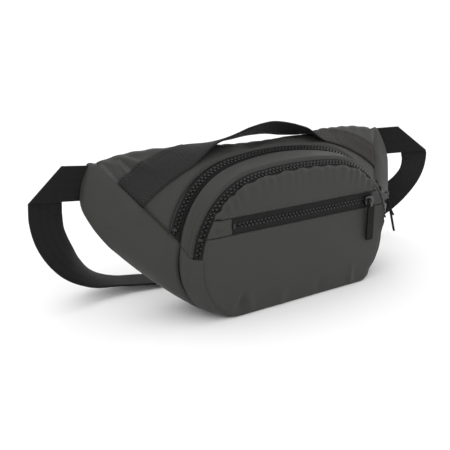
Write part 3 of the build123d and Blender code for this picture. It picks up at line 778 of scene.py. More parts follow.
def cloth_panel(name, p, sign, node, thick=CLOTH_THICK, material="shell_fabric", sides="uv"):
    """A sewn panel: grid, rim attribute and thickness inwards, standing for its CAD node."""
    p = settle(p)
    obj = grid_object(name, p, flip=sign < 0)
    set_rim(obj, p, sides=sides)
    thicken(obj, thick * MM)
    return finish_piece(obj, "bag", finish_of(material), material, node)


# ------------------------------------------------------------------ surfaces of the bag
FRONT_NORMAL = np.array([0, -1, 0.05]) / math.hypot(1, 0.05)
WINDOW_LOW, WINDOW_HIGH, WINDOW_L, WINDOW_R, WINDOW_MID = 80.0, 96.0, -84.5, 92.5, 88.0
BAG_HEART = (0.0, 45.0, 70.0)
TOP_SEAM_Z = np.linspace(0, 1, 2001)


def front_width(z):
    """Half width of the front panel at a height in its plane: knee arc, short straight, corner arc."""
    s = FRONT
    wide, low = s["cx"] + s["r"], s["knee"]
    run = wide - s["base"]
    arc = (run ** 2 + low ** 2) / (2 * run)
    knee = wide - arc + np.sqrt(np.maximum(arc ** 2 - (low - z) ** 2, 0))
    corner = s["cx"] + np.sqrt(np.maximum(s["r"] ** 2 - (z - s["cz"]) ** 2, 0))
    return np.where(z <= low, knee, np.where(z <= s["cz"], wide, corner))


def ruled(a, b, f):
    """Straight rulings between two curves of points: (1 - f) a + f b."""
    return a[:, None] * (1 - f)[None, :, None] + b[:, None] * f[None, :, None]


def front_lower():
    u, z = np.linspace(-1, 1, 240)[:, None], np.linspace(0, WINDOW_LOW, 96)[None, :]
    return lift(u * front_width(z), z + 0 * u, FRONT["y0"], FRONT["lean"])


def front_upper():
    """Rulings from the straight top edge of the window to the arched edge above it."""
    tall = arch(FRONT, TOP_SEAM_Z)[:, 2] * math.hypot(1, 0.05)
    reach = float(np.interp(-WINDOW_HIGH, -tall, TOP_SEAM_Z))
    u = np.linspace(-1, 1, 320)
    line = lift(u * float(front_width(np.array(WINDOW_HIGH))), np.full_like(u, WINDOW_HIGH), FRONT["y0"], FRONT["lean"])
    return ruled(line, arch(FRONT, u * reach), np.linspace(0, 1, 60) ** 0.85)


def gather(p):
    """Fabric gathered into the arched seam: ripples about 10.5 mm apart, their spacing slowly wandering,
    dying out downwards."""
    run = lengths(p, 0)[:, -1:]
    down = (lambda q: q[:, -1:] - q)(lengths(p, 1))
    phase = run * 2 * math.pi / 10.5 + 1.3 * np.sin(run / 17.0) + 0.9 * np.sin(run / 6.1 + 1.0)
    strength = 0.75 + 0.45 * np.sin(run / 31.0 + 0.6)
    return 0.95 * strength * np.sin(phase) * np.exp(-(down / 9.0) ** 1.4)


def band_grid(a, b, low, high, count, steps=420, reach=1.0):
    t = np.linspace(-reach, reach, steps)
    return ruled(arch(a, t), arch(b, t), np.linspace(low, high, count))


def top_grid(nu=300, nv=96):
    t = np.linspace(-1, 1, nu)
    return ruled(arch(ZIPB, t), back_top(t), np.linspace(0, 1, nv))


def handle_line(x):
    """Height of the handle's middle: a hump on a level, steeper on the right."""
    return HANDLE_LEVEL + HANDLE_RISE * np.exp(-(x / np.where(x > 0, HANDLE_ROUND_RIGHT, HANDLE_ROUND_LEFT)) ** 2)


def handle_slope(x):
    """Tilt of the handle's width in radians."""
    return np.radians(np.interp(np.abs(x), *HANDLE_TILT))


def wing_grid(nu=150, nv=150):
    """Rulings from the gusset's lower edge to the back's side edge; the top edge bows out to the main zip's end."""
    t, v = np.linspace(0, 1, nu), np.linspace(0, 1, nv)
    p = ruled(flank(LOW, t), back_flank(t), v)
    start, corner, end = p[0, 0], p[0, -1], arch(ZIPB, 1.0)
    way = (corner - start) / np.linalg.norm(corner - start)
    bow = (end - start) - way * ((end - start) @ way)
    tent = np.interp(v, [0, 0.13, 1], [0, 1, 0])
    return p + ((1 - t) ** 6)[:, None, None] * tent[None, :, None] * bow


def gusset_side_grid(nu=120, nv=26):
    t = np.linspace(0, 1, nu)
    rows = np.stack([flank(FRONT, t), flank(ZIPA, t), flank(LOW, t)], 1)
    f = np.linspace(0, 2, nv)
    i = np.clip(f.astype(int), 0, 1)
    k = (f - i)[None, :, None]
    return rows[:, i] * (1 - k) + rows[:, i + 1] * k


def mirror(p):
    return p * np.array([-1, 1, 1])


def ring_of(shape, shrink, count=48):
    """Closed outline of a section, from the left bottom corner over the arch, pulled in by shrink."""
    edge, crown = (back_flank, back_top) if shape == "back" else (lambda t: flank(shape, t), lambda t: arch(shape, t))
    side = edge(np.linspace(1, 0, count // 2, endpoint=False))
    top = crown(np.linspace(1, -1, count * 2))
    other = mirror(side[::-1])
    x = np.linspace(-1, 1, count)[1:-1] * side[0, 0]
    base = np.stack([x, np.full(len(x), side[0, 1]), np.full(len(x), side[0, 2])], -1)
    loop = np.concatenate([side, top, other, base])
    middle = loop.mean(0)
    size = np.linalg.norm(loop - middle, axis=1, keepdims=True)
    return middle + (loop - middle) * (1 - shrink / size)


def grid_sign(p, centre):
    """1 if the grid's own normals point away from the centre, else -1."""
    return outward(p, centre)[1]


def trim(line, start, end):
    """Leaves out the first and last points of a (path, normals) pair."""
    return line[0][start:end], line[1][start:end]


def close_doubles(obj, gap=1e-5):
    """Merges points that fall together, such as a collapsed corner."""
    bm = bmesh.new()
    bm.from_mesh(obj.data)
    bmesh.ops.remove_doubles(bm, verts=bm.verts, dist=gap)
    bm.to_mesh(obj.data)
    bm.free()
    return obj


def close_ends(obj):
    """Fills the open rims left at the two ends of a wrapped grid."""
    bm = bmesh.new()
    bm.from_mesh(obj.data)
    rims = [e for e in bm.edges if e.is_boundary]
    bmesh.ops.holes_fill(bm, edges=rims, sides=0)
    bmesh.ops.recalc_face_normals(bm, faces=bm.faces)
    for face in bm.faces:
        face.smooth = True
    bm.to_mesh(obj.data)
    bm.free()
    return obj


def tube(path, radius):
    """Round cord along a path: radius times (cos q, sin q) in the plane across it."""
    way = np.gradient(path, axis=0)
    way /= np.linalg.norm(way, axis=1, keepdims=True)
    side = np.cross(way, np.array([0.13, 0.2, 1.0]))
    side /= np.linalg.norm(side, axis=1, keepdims=True)
    up = np.cross(side, way)
    q = np.arange(CORD_SIDES) * 2 * math.pi / CORD_SIDES
    return path[None] + radius * (np.cos(q)[:, None, None] * side[None] + np.sin(q)[:, None, None] * up[None])


def tooth_rows(name, line, normals, node):
    """Two facing rows of moulded teeth, half a pitch apart, each reaching just past the middle line."""
    pitch = settings()[0].tooth_pitch / MM
    points, faces = rounded_block(pitch * 0.46, 2.5, 1.15, 0.6)
    at, way, near = walk(line, normals, pitch)
    way = way / np.linalg.norm(way, axis=1, keepdims=True)
    side = np.cross(near, way)
    side /= np.linalg.norm(side, axis=1, keepdims=True)
    at = np.concatenate([at + side * 1.35, at - side * 1.35 + way * pitch / 2])
    way, near = np.concatenate([way, way]), np.concatenate([near, near])
    obj = stamp(name, points, faces, at, way, near)
    return finish_piece(obj, "bag", finish_of("zip_teeth"), "zip_teeth", node)


def top_surface():
    """Top panel with its swell, pressed down a little under the middle of the handle."""
    sizes = settings()[0]
    p = top_grid()
    deep = sizes.seam_depth / MM
    edges = {"u0": (deep * 0.8, 1.8), "u1": (deep * 0.8, 1.8), "v0": (1.8, 1.6), "v1": (deep, 3.0)}
    run, left = lengths(p, 0)[:, -1:], (lambda q: q[:, -1:] - q)(lengths(p, 1))
    pucker = 0.55 * np.sin(run * 2 * math.pi / 19.0 + 1.4 * np.sin(run / 23.0)) * np.exp(-(left / 11.0) ** 2)
    p, sign = soften(p, BAG_HEART, edges, sizes.puff / MM * 0.9, sizes.crease, 0.9, pucker)
    x, y, z = p[..., 0], p[..., 1], p[..., 2]
    room = handle_line(x) - (y - HANDLE_Y) * np.tan(handle_slope(x)) - 2.4
    near = np.abs(x) < 88
    p[..., 2] = np.where(near, np.minimum(z, room), z)
    return p, sign


def handle_grid(s):
    """Half of the handle: free at (x, 70 + w cos a, h(x) - w sin a) within HANDLE_LIFT_X, lying on the panel
    HANDLE_FADE further out, blended between by the smoothstep b b (3 - 2 b)."""
    top, _ = top_surface()
    n, _ = outward(top, BAG_HEART)
    n = n / np.linalg.norm(n, axis=-1, keepdims=True)
    nu, nv = top.shape[:2]
    tau = np.linspace(0, 1, 150) * s
    row = (tau + 1) / 2 * (nu - 1)
    cut = np.linalg.norm(top[:, -1] - top[:, 0], axis=1)
    w = np.linspace(-WEB_HALF, WEB_HALF, 21)
    reach = np.interp(row, np.arange(nu), cut)
    centre = 0.5 + 0.03 * np.abs(tau) ** 3
    v = centre[:, None] + w[None, :] / reach[:, None]
    col = np.clip(v, 0.03, 0.97) * (nv - 1)

    def sample(field):
        i = np.clip(row.astype(int), 0, nu - 2)[:, None]
        j = np.clip(col.astype(int), 0, nv - 2)
        a, b = (row[:, None] - i)[..., None], (col - j)[..., None]
        near = field[i, j] * (1 - a) + field[i + 1, j] * a
        far = field[i, j + 1] * (1 - a) + field[i + 1, j + 1] * a
        return near * (1 - b) + far * b

    panel = sample(top) + sample(n) * 1.0
    x = panel[:, 10, 0]
    slope = handle_slope(x)[:, None]
    high = handle_line(x)[:, None] - w[None] * np.sin(slope)
    free = np.stack([x[:, None] + 0 * w[None], HANDLE_Y + w[None] * np.cos(slope), high], -1)
    b = np.clip((np.abs(x) - HANDLE_LIFT_X[s]) / HANDLE_FADE, 0, 1)
    b = (b * b * (3 - 2 * b))[:, None, None]
    p = free * (1 - b) + panel * b
    return p if s > 0 else p[::-1]


BELT_TURN = {
    # centre, width direction: the left side hangs a little closer in than the right
    -1: [
        ((223, 92, 78), (-0.94, 0.30, 0.16)), ((207, 104, 52), (-0.80, 0.54, 0.28)),
        ((186, 117, 31), (-0.50, 0.83, 0.24)),
    ],
    1: [
        ((237, 80, 82), (-0.90, 0.40, -0.05)), ((226, 93, 58), (-0.82, 0.54, 0.14)),
        ((205, 109, 37), (-0.56, 0.79, 0.24)),
    ],
}
BELT_DROP = [((163, 127, 15.5), (-0.22, 0.97, 0.08)), ((140, 128, 8.0), (-0.05, 1, 0))] + [
    (place, (0, 1, 0))
    for place in (
        (116, 125, 5.0), (90, 119, 2.6), (66, 116, 1.7), (52, 116, 1.9), (42, 116, 2.0), (35.5, 116, 2.3),
        (33.2, 116, 4.2), (32.9, 116, 6.1), (33.4, 116, 8.2), (36, 116, 9.7), (41, 116, 9.1), (52, 116, 6.0),
        (66, 116, 3.9), (84, 116, 3.8),
    )
]
FOLDS = {-1: (np.array([15.5, 18.5]), np.array([47.5, -15.5])), 1: (np.array([17.0, 17.5]), np.array([58.0, -16.5]))}
FOLD_RADIUS, FLAT_END = 1.25, 64.0
BELT_RUN = {-1: (-0.985, -0.12, 0.12), 1: (0.927, -0.375, 0.04)}


def fold_strip(m, w, s):
    """Webbing folded on a diagonal: a point at signed distance d past the fold line goes round a half turn of
    radius r and comes back behind, so the sheet keeps its true length."""
    high, low = FOLDS[s]
    line = (low - high) / np.linalg.norm(low - high)
    push = np.array([-line[1], line[0]])
    flat = np.stack([m, w], -1)
    d = (flat - high) @ push
    r = FOLD_RADIUS
    half = math.pi * r
    out = np.where(d < 0, d, np.where(d < half, r * np.sin(np.clip(d, 0, half) / r), half - d))
    depth = np.where(d < 0, 0.0, np.where(d < half, r * (1 - np.cos(np.clip(d, 0, half) / r)), 2 * r))
    place = flat + push * (out - d)[..., None]
    run = np.array(BELT_RUN[s])
    run /= np.linalg.norm(run)
    face = np.array([run[1] / run[0], -1.0, 0.0])
    face /= np.linalg.norm(face)
    up = np.cross(face, run) * s
    origin = np.array([s * 191.5, 87.5, 126.5]) - face * 0.8
    return origin + place[..., :1] * run + place[..., 1:] * up - face * depth[..., None]


def belt_grid(s):
    """Belt of one side: the folded strip, then, by length, the curve through the stations down to the floor,
    round the buckle bar and back along itself."""
    w = np.linspace(-WEB_HALF, WEB_HALF, 25)
    below = fold_strip(np.array([FLAT_END, FLAT_END - 1.0]), np.zeros(2), s)
    first = fold_strip(np.array([FLAT_END, FLAT_END]), np.array([0.0, 1.0]), s)
    tail = [((112, 116, 3.8), (0, 1, 0))] if s > 0 else []
    stations = BELT_TURN[s] + BELT_DROP + tail
    centre = np.vstack([below[:1], np.array([c for c, _ in stations], float) * [s, 1, 1]])
    width = np.array([d for _, d in stations], float) * [s, 1, 1]
    width = np.vstack([[first[1] - first[0]], width])
    width /= np.linalg.norm(width, axis=1, keepdims=True)
    both = np.hstack([centre, width * MM])
    reach = np.linalg.norm(centre[1] - centre[0])
    ahead = np.r_[below[0] + (below[1] - below[0]) * reach, width[0] * MM]
    fine = through(both, np.linspace(0, 1, 1500), ahead)
    fine, turned = fine[:, :3], fine[:, 3:]
    run = np.r_[0, np.cumsum(np.linalg.norm(np.diff(fine, axis=0), axis=1))]
    hanging = np.linspace(FLAT_END + 1, FLAT_END + run[-1], 340)
    m = np.r_[np.linspace(-9, 16, 14), np.linspace(17, FLAT_END, 130), hanging]
    mm, ww = np.meshgrid(m, w, indexing="ij")
    folded = fold_strip(mm, ww, s)
    d = np.clip(m - FLAT_END, 0, run[-1])
    middle = np.stack([np.interp(d, run, fine[:, k]) for k in range(3)], -1)
    across = np.stack([np.interp(d, run, turned[:, k]) for k in range(3)], -1)
    way = np.gradient(middle, axis=0)
    way /= np.maximum(np.linalg.norm(way, axis=1, keepdims=True), 1e-6)
    across -= way * (across * way).sum(1, keepdims=True)
    across /= np.linalg.norm(across, axis=1, keepdims=True)
    carried = middle[:, None] + w[None, :, None] * across[:, None]
    bulge = 0.5 * np.cos(ww / WEB_HALF * math.pi / 2)[..., None] * np.cross(way, across)[:, None]
    cup = bulge * np.sin(np.clip(mm - 90, 0, 150) / 150 * math.pi)[..., None]
    past = (m > FLAT_END)[:, None, None]
    return np.where(past, carried + cup, folded), np.stack([mm, ww + WEB_HALF], -1)


def swell(obj, out):
    """Cloth simulation: the sewn edge and the side against the bag are held, pressure fills the outer side,
    and no point moves more than PAD_LIMIT. It has no random input."""
    obj.data.update()
    modifier = obj.modifiers.new("Remesh", "REMESH")
    modifier.mode, modifier.voxel_size = "VOXEL", PAD_VOXEL
    dressed = bpy.data.meshes.new_from_object(obj.evaluated_get(bpy.context.evaluated_depsgraph_get()))
    obj.modifiers.clear()
    obj.data = dressed
    co = np.zeros(len(dressed.vertices) * 3)
    dressed.vertices.foreach_get("co", co)
    rest = co.reshape(-1, 3).copy()
    height = (rest / MM - np.array([0, SHIFT_Y + BACK_Y0, 0])) @ out
    held = height < PAD_HELD
    obj.vertex_groups.new(name="Held").add(np.nonzero(held)[0].tolist(), 1.0, "REPLACE")
    cloth = obj.modifiers.new("Cloth", "CLOTH")
    cloth.settings.quality = 6
    cloth.settings.use_pressure = True
    cloth.settings.uniform_pressure_force = PAD_PRESSURE
    cloth.settings.shrink_min = -0.03
    cloth.settings.effector_weights.gravity = 0.0
    cloth.settings.vertex_group_mass = "Held"
    scene = bpy.context.scene
    frames = settings()[0].back_swell
    cloth.point_cache.frame_start, cloth.point_cache.frame_end = 1, frames
    for number in range(1, frames + 1):
        scene.frame_set(number)
    swollen = bpy.data.meshes.new_from_object(obj.evaluated_get(bpy.context.evaluated_depsgraph_get()))
    swollen.vertices.foreach_get("co", co)
    move = co.reshape(-1, 3) - rest
    size = np.linalg.norm(move, axis=1, keepdims=True)
    move *= np.minimum(1.0, PAD_LIMIT / np.maximum(size, 1e-9))
    obj.modifiers.clear()
    obj.vertex_groups.clear()
    swollen.vertices.foreach_set("co", (rest + move).ravel())
    obj.data = swollen
    obj.data.polygons.foreach_set("use_smooth", np.ones(len(obj.data.polygons), bool))
    smooth = obj.modifiers.new("Subdivision", "SUBSURF")
    smooth.levels = smooth.render_levels = 1
    scene.frame_set(1)
    return obj


# ------------------------------------------------------------------ operators
class BAG_OT_stage(bpy.types.Operator):
    """Camera, pale floor, soft lights and world"""
    bl_idname = "waist_bag.stage"
    bl_label = "Camera, floor and lights"

    def execute(self, context):
        scene = context.scene
        camera = bpy.data.objects.new("Camera", bpy.data.cameras.new("Camera"))
        scene.collection.objects.link(camera)
        camera.data.lens, camera.data.sensor_width = CAMERA_LENS, CAMERA_SENSOR
        target = Vector(CAMERA_TARGET)
        camera.location = target + CAMERA_DISTANCE * Vector(CAMERA_AWAY)
        camera.rotation_euler = (target - camera.location).to_track_quat("-Z", "Y").to_euler()
        scene.camera = camera
        scene.view_settings.view_transform = "Standard"

        mesh = bpy.data.meshes.new("Floor")
        corners = [(a * FLOOR_HALF, b * FLOOR_HALF, FLOOR_Z) for a, b in ((-1, -1), (1, -1), (1, 1), (-1, 1))]
        mesh.from_pydata(corners, [], [(0, 1, 2, 3)])
        floor = bpy.data.objects.new("Floor", mesh)
        scene.collection.objects.link(floor)
        mat, tree, shader, where = blank("Pale floor", 0.8, specular=0.1)
        tree.links.new(remap(tree, noise(tree, where["Object"], 3.0), 0.0, 1.0, 0.78, 0.82), shader.inputs["Roughness"])
        shader.inputs["Base Color"].default_value = (0.96, 0.96, 0.96, 1)
        mesh.materials.append(mat)

        world = bpy.data.worlds.new("Studio")
        world.use_nodes = True
        world.node_tree.nodes["Background"].inputs[0].default_value = (1, 1, 1, 1)
        world.node_tree.nodes["Background"].inputs[1].default_value = 1.04
        scene.world = world
        for name, place, size, power in (
            ("Key", (-0.9, -1.1, 1.5), 1.2, 4.0),
            ("Fill", (1.3, -0.9, 0.9), 1.6, 1.0),
            ("Top", (0.1, 0.3, 1.9), 1.6, 5.0),
        ):
            light = bpy.data.objects.new(name, bpy.data.lights.new(name, "AREA"))
            light.data.size, light.data.energy = size, power
            light.location = place
            light.rotation_euler = (Vector((0, 0, 0.07)) - light.location).to_track_quat("-Z", "Y").to_euler()
            scene.collection.objects.link(light)
        return {"FINISHED"}


class BAG_OT_front(bpy.types.Operator):
    """Front pocket: lower panel, gathered upper panel and the two cloth patches beside the window"""
    bl_idname = "waist_bag.front"
    bl_label = "Front panels"

    def execute(self, context):
        sizes = settings()[0]
        puff, deep = sizes.puff / MM, sizes.seam_depth / MM
        runs = []
        low = front_lower()
        edges = {"u0": (2.4, 1.7), "u1": (2.4, 1.7), "v0": (0.8, 2.4), "v1": (0.9, 1.0)}
        low, _ = soften(low, BAG_HEART, edges, puff * 0.55, sizes.crease, 0.45, normal=FRONT_NORMAL)
        cloth_panel("front_lower_cloth", low, grid_sign(low, BAG_HEART), "front_panel_lower")
        normal = np.broadcast_to(FRONT_NORMAL, low.shape)
        runs += [trim(inset_rows(low, normal, 2.4, "v1"), 3, -3)]

        up = front_upper()
        edges = {"v0": (0.9, 1.0), "v1": (deep * 1.1, 2.0)}
        rim = np.exp(-((lengths(up, 1)[:, -1:] - lengths(up, 1)) / 5.0) ** 2)
        wander = 0.7 + 0.8 * np.sin(lengths(up, 0)[:, -1:] / 3.3 + 1.5 * np.sin(lengths(up, 0)[:, -1:] / 21.0))
        step = np.gradient(up, axis=1)
        up = up + step / np.maximum(np.linalg.norm(step, axis=-1, keepdims=True), 1e-6) * (rim * wander)[..., None]
        up, _ = soften(up, BAG_HEART, edges, puff * 0.35, sizes.crease, 0.5, gather(up), normal=FRONT_NORMAL)
        obj = cloth_panel("front_upper_cloth", up, grid_sign(up, BAG_HEART), "front_panel_upper", sides="v")
        close_doubles(obj)
        normal = np.broadcast_to(FRONT_NORMAL, up.shape)
        runs += [trim(inset_rows(up, normal, 2.4, "v0"), 6, -6)]

        z = np.linspace(WINDOW_LOW + 0.15, WINDOW_HIGH - 0.15, 26)[None, :]
        for side, inner, sign in (("left", WINDOW_L, -1), ("right", WINDOW_R, 1)):
            f = np.linspace(0, 1, 40)[:, None]
            outer = sign * front_width(z)
            x = (outer * (1 - f) + inner * f) if sign < 0 else (inner * (1 - f) + outer * f)
            patch = lift(x, z + 0 * x, FRONT["y0"], FRONT["lean"])
            edge = "u1" if sign < 0 else "u0"
            other = "u0" if sign < 0 else "u1"
            edges = {edge: (1.0, 0.9), other: (deep, 2.4), "v0": (0.9, 0.8), "v1": (0.9, 0.8)}
            patch, _ = soften(patch, BAG_HEART, edges, 0.35, sizes.crease, 0.4, normal=FRONT_NORMAL)
            cloth_panel(f"window_patch_cloth_{side}", patch, grid_sign(patch, BAG_HEART), f"window_patch_{side}")
            normal = np.broadcast_to(FRONT_NORMAL, patch.shape)
            runs += [trim(inset_rows(patch, normal, 2.0, edge), 1, -1)]
        stitch_line("window_topstitching", runs)
        return {"FINISHED"}


class BAG_OT_straight_zip(bpy.types.Operator):
    """Straight pocket zip: two ribbed tapes and two rows of moulded teeth"""
    bl_idname = "waist_bag.straight_zip"
    bl_label = "Straight zip"

    def execute(self, context):
        x = np.linspace(WINDOW_L - 2, WINDOW_R + 2, 180)[:, None]
        for side, a, b in (
            ("lower", WINDOW_LOW - 1.2, WINDOW_MID - 0.5),
            ("upper", WINDOW_MID + 0.5, WINDOW_HIGH + 1.2),
        ):
            z = np.linspace(a, b, 14)[None, :]
            p = lift(x + 0 * z, z + 0 * x, FRONT["y0"], FRONT["lean"])
            far = np.abs(z - WINDOW_MID) / 8.0
            sink = -(0.75 + 0.75 * far ** 2) + 0.10 * np.sin(x / 9.0) + drape_noise(p, 0.12)
            p = p + FRONT_NORMAL * sink[..., None]
            cloth_panel(
                f"straight_zip_tape_cloth_{side}", p, grid_sign(p, BAG_HEART), f"straight_zip_tape_{side}",
                thick=TAPE_THICK, material="zip_tape",
            )
        line = lift(x[:, 0], np.full(len(x), WINDOW_MID), FRONT["y0"], FRONT["lean"]) - FRONT_NORMAL * 0.75
        line = line[(x[:, 0] > WINDOW_L + 6) & (x[:, 0] < WINDOW_R - 1)]
        tooth_rows("straight_zip_tooth_rows", line, np.broadcast_to(FRONT_NORMAL, line.shape), "straight_zip_teeth")
        return {"FINISHED"}


class BAG_OT_arched_zips(bpy.types.Operator):
    """Front and main arched zips: ribbed tapes sunk between the panels, with two rows of moulded teeth"""
    bl_idname = "waist_bag.arched_zips"
    bl_label = "Arched zips"

    def execute(self, context):
        for name, a, b, inner, outer in (
            ("front_zip", FRONT, ZIPA, "inner", "outer"),
            ("main_zip", MAIN, ZIPB, "front", "rear"),
        ):
            for side, low, high in ((inner, -0.10, 0.47), (outer, 0.53, 1.10)):
                p = band_grid(a, b, low, high, 14)
                n, sign = outward(p, BAG_HEART)
                f = np.abs(np.linspace(low, high, 14) - 0.5)[None, :] * 2
                p = p + n * (-(1.0 + 2.0 * f ** 3) + 0.12 * drape_noise(p, 1.0))[..., None]
                cloth_panel(
                    f"{name}_tape_cloth_{side}", p, sign, f"{name}_tape_{side}",
                    thick=TAPE_THICK, material="zip_tape", sides="v",
                )
            middle = band_grid(a, b, 0.4, 0.6, 5, reach=0.985)
            n, _ = outward(middle, BAG_HEART)
            tooth_rows(f"{name}_tooth_rows", middle[:, 2] - n[:, 2] * 1.0, n[:, 2], f"{name}_teeth")
        return {"FINISHED"}


class BAG_OT_gusset(bpy.types.Operator):
    """Gusset over the top between the two arched zips, and its two sides"""
    bl_idname = "waist_bag.gusset"
    bl_label = "Gusset"

    def execute(self, context):
        sizes = settings()[0]
        p = band_grid(ZIPA, MAIN, 0.0, 1.0, 44)
        lv = lengths(p, 1)
        ridge = 0.7 * (np.exp(-((lv - 3.0) / 1.7) ** 2) + np.exp(-((lv[:, -1:] - lv - 3.0) / 1.7) ** 2))
        edges = {"v0": (2.0, 1.5), "v1": (2.0, 1.5)}
        p, sign = soften(p, BAG_HEART, edges, sizes.puff / MM * 0.5, sizes.crease, 0.5, ridge)
        cloth_panel("gusset_top_cloth", p, sign, "gusset_top", sides="v")
        for side, turn in (("right", lambda q: q), ("left", mirror)):
            q = turn(gusset_side_grid())
            edges = {"u0": (1.0, 1.6), "v0": (2.4, 1.5), "v1": (2.2, 1.8)}
            q, sign = soften(q, BAG_HEART, edges, sizes.puff / MM * 0.5, sizes.crease, 0.5)
            cloth_panel(f"gusset_side_cloth_{side}", q, sign, f"gusset_side_{side}")
        return {"FINISHED"}


class BAG_OT_top_and_wings(bpy.types.Operator):
    """Top panel behind the main zip, the two wings, and the bound seams between them"""
    bl_idname = "waist_bag.top_and_wings"
    bl_label = "Top panel and wings"

    def execute(self, context):
        sizes = settings()[0]
        puff, deep = sizes.puff / MM, sizes.seam_depth / MM
        runs = []
        p, sign = top_surface()
        cloth_panel("top_panel_cloth", p, sign, "top_panel")
        n, _ = outward(p, BAG_HEART)
        runs += [trim(inset_rows(p, n, 2.6, "u0"), 3, -3), trim(inset_rows(p, n, 2.6, "u1"), 3, -3)]
        for side, turn in (("right", lambda q: q), ("left", mirror)):
            q = turn(wing_grid())
            edges = {"u0": (deep * 0.8, 1.8), "u1": (deep, 3.0), "v0": (deep, 2.4), "v1": (deep * 1.2, 3.4)}
            q, sign = soften(q, BAG_HEART, edges, puff * 1.1, sizes.crease, 1.0)
            q[..., 2] = np.maximum(q[..., 2], 0.3)
            cloth_panel(f"wing_cloth_{side}", q, sign, f"wing_panel_{side}")
            welt = q[0]
            out = np.cross(np.gradient(welt, axis=0), (q[3] - q[0]))
            out /= np.linalg.norm(out, axis=1, keepdims=True)
            out *= np.sign(((welt - np.array(BAG_HEART)) * out).sum(1, keepdims=True))
            cord = tube(welt[2:-2] - out[2:-2] * 0.5, 0.85)
            obj = grid_object(f"wing_welt_{side}", cord, wrap=True, flip=False)
            close_ends(obj)
            finish_piece(obj, "bag", finish_of("binding"), "binding", f"seam_binding_{side}")
        stitch_line("wing_seam_topstitching", runs)
        return {"FINISHED"}


class BAG_OT_base_and_lining(bpy.types.Operator):
    """Flat base, the lining of the two compartments and the divider between them"""
    bl_idname = "waist_bag.base_and_lining"
    bl_label = "Base and lining"

    def execute(self, context):
        u, v = np.linspace(-1, 1, 90)[:, None], np.linspace(0, 1, 40)[None, :]
        half = 83.0 * (1 - v) + 77.5 * v
        wavy = np.abs(drape_noise(np.stack([u * half, 62 * v + 0 * u, 0 * u * v], -1)))
        p = np.stack([u * half, 1.2 + 60.4 * v + 0 * u, 0.35 + 0.25 * wavy], -1)
        cloth_panel("base_cloth", p, -1.0 if grid_normals(p)[..., 2].mean() > 0 else 1.0, "bottom_panel")

        rings = [ring_of(FRONT, 4.2), ring_of(MIDDLE, 4.6), ring_of("back", 8.0)]
        rings[0][:, 1] += 3.2
        rings[2][:, 1] -= 3.0
        for r in rings:
            r[:, 2] = np.maximum(r[:, 2], 2.6)
        caps = (0.002, 0.3, 0.7, 0.96)
        profile = [(0, k) for k in caps] + [(f, 1.0) for f in np.linspace(0, 2, 13)] + [(2, k) for k in caps[::-1]]
        rows = []
        for f, k in profile:
            i = min(int(f), 1)
            ring = rings[i] * (1 - (f - i)) + rings[i + 1] * (f - i)
            middle = ring.mean(0)
            rows.append(middle + (ring - middle) * k)
        p = np.stack(rows, 1)
        p = settle(p)
        n, sign = outward(p, p.reshape(-1, 3).mean(0))
        p = p - n * (0.3 * np.abs(drape_noise(p)))[..., None]
        obj = grid_object("lining_cloth", p, flip=sign < 0, wrap=True)
        close_ends(obj)
        finish_piece(thicken(obj, 0.6 * MM), "bag", finish_of("lining_fabric"), "lining_fabric", "lining")

        ring = ring_of(MIDDLE, 9.0)
        ring[:, 2] = np.maximum(ring[:, 2], 5.2)
        middle = ring.mean(0)
        p = middle + (ring - middle)[:, None] * np.linspace(0.004, 1, 24)[None, :, None]
        p[..., 1] += 1.2 * drape_noise(p)
        obj = grid_object("divider_cloth", p, flip=grid_normals(p)[..., 1].mean() > 0, wrap=True)
        close_ends(obj)
        finish_piece(thicken(obj, 0.8 * MM, 0.0), "bag", finish_of("lining_fabric"), "lining_fabric", "pocket_divider")
        return {"FINISHED"}


class BAG_OT_back_pad(bpy.types.Operator):
    """Padded back: cloth swollen over its foam, with its sewn edge held"""
    bl_idname = "waist_bag.back_pad"
    bl_label = "Padded back"

    def execute(self, context):
        ring = ring_of("back", 1.4, 64)
        ring[:, 2] = np.maximum(ring[:, 2], 0.6)
        middle = ring.mean(0)
        k = np.r_[np.linspace(0.004, 0.96, 20), np.linspace(0.975, 1.0, 4)]
        flat = middle + (ring - middle)[:, None] * k[None, :, None]
        out = np.array([0, 1, -BACK_LEAN]) / math.hypot(1, BACK_LEAN)
        rise = 0.6 + 4.6 * (1 - k ** 8) ** 0.5
        back = flat + out * rise[None, :, None]
        front = flat[:, ::-1][:, 1:] + out * 0.1
        p = np.concatenate([back, front], 1)
        _, sign = outward(p, p.reshape(-1, 3).mean(0))
        obj = grid_object("back_pad", p, flip=sign < 0, wrap=True)
        close_ends(obj)
        obj = swell(obj, out)
        obj.data.attributes.new("rim", "FLOAT", "POINT")
        finish_piece(obj, "bag", finish_of("mesh"), "mesh", "back_lining", "back_foam", "back_mesh")
        return {"FINISHED"}


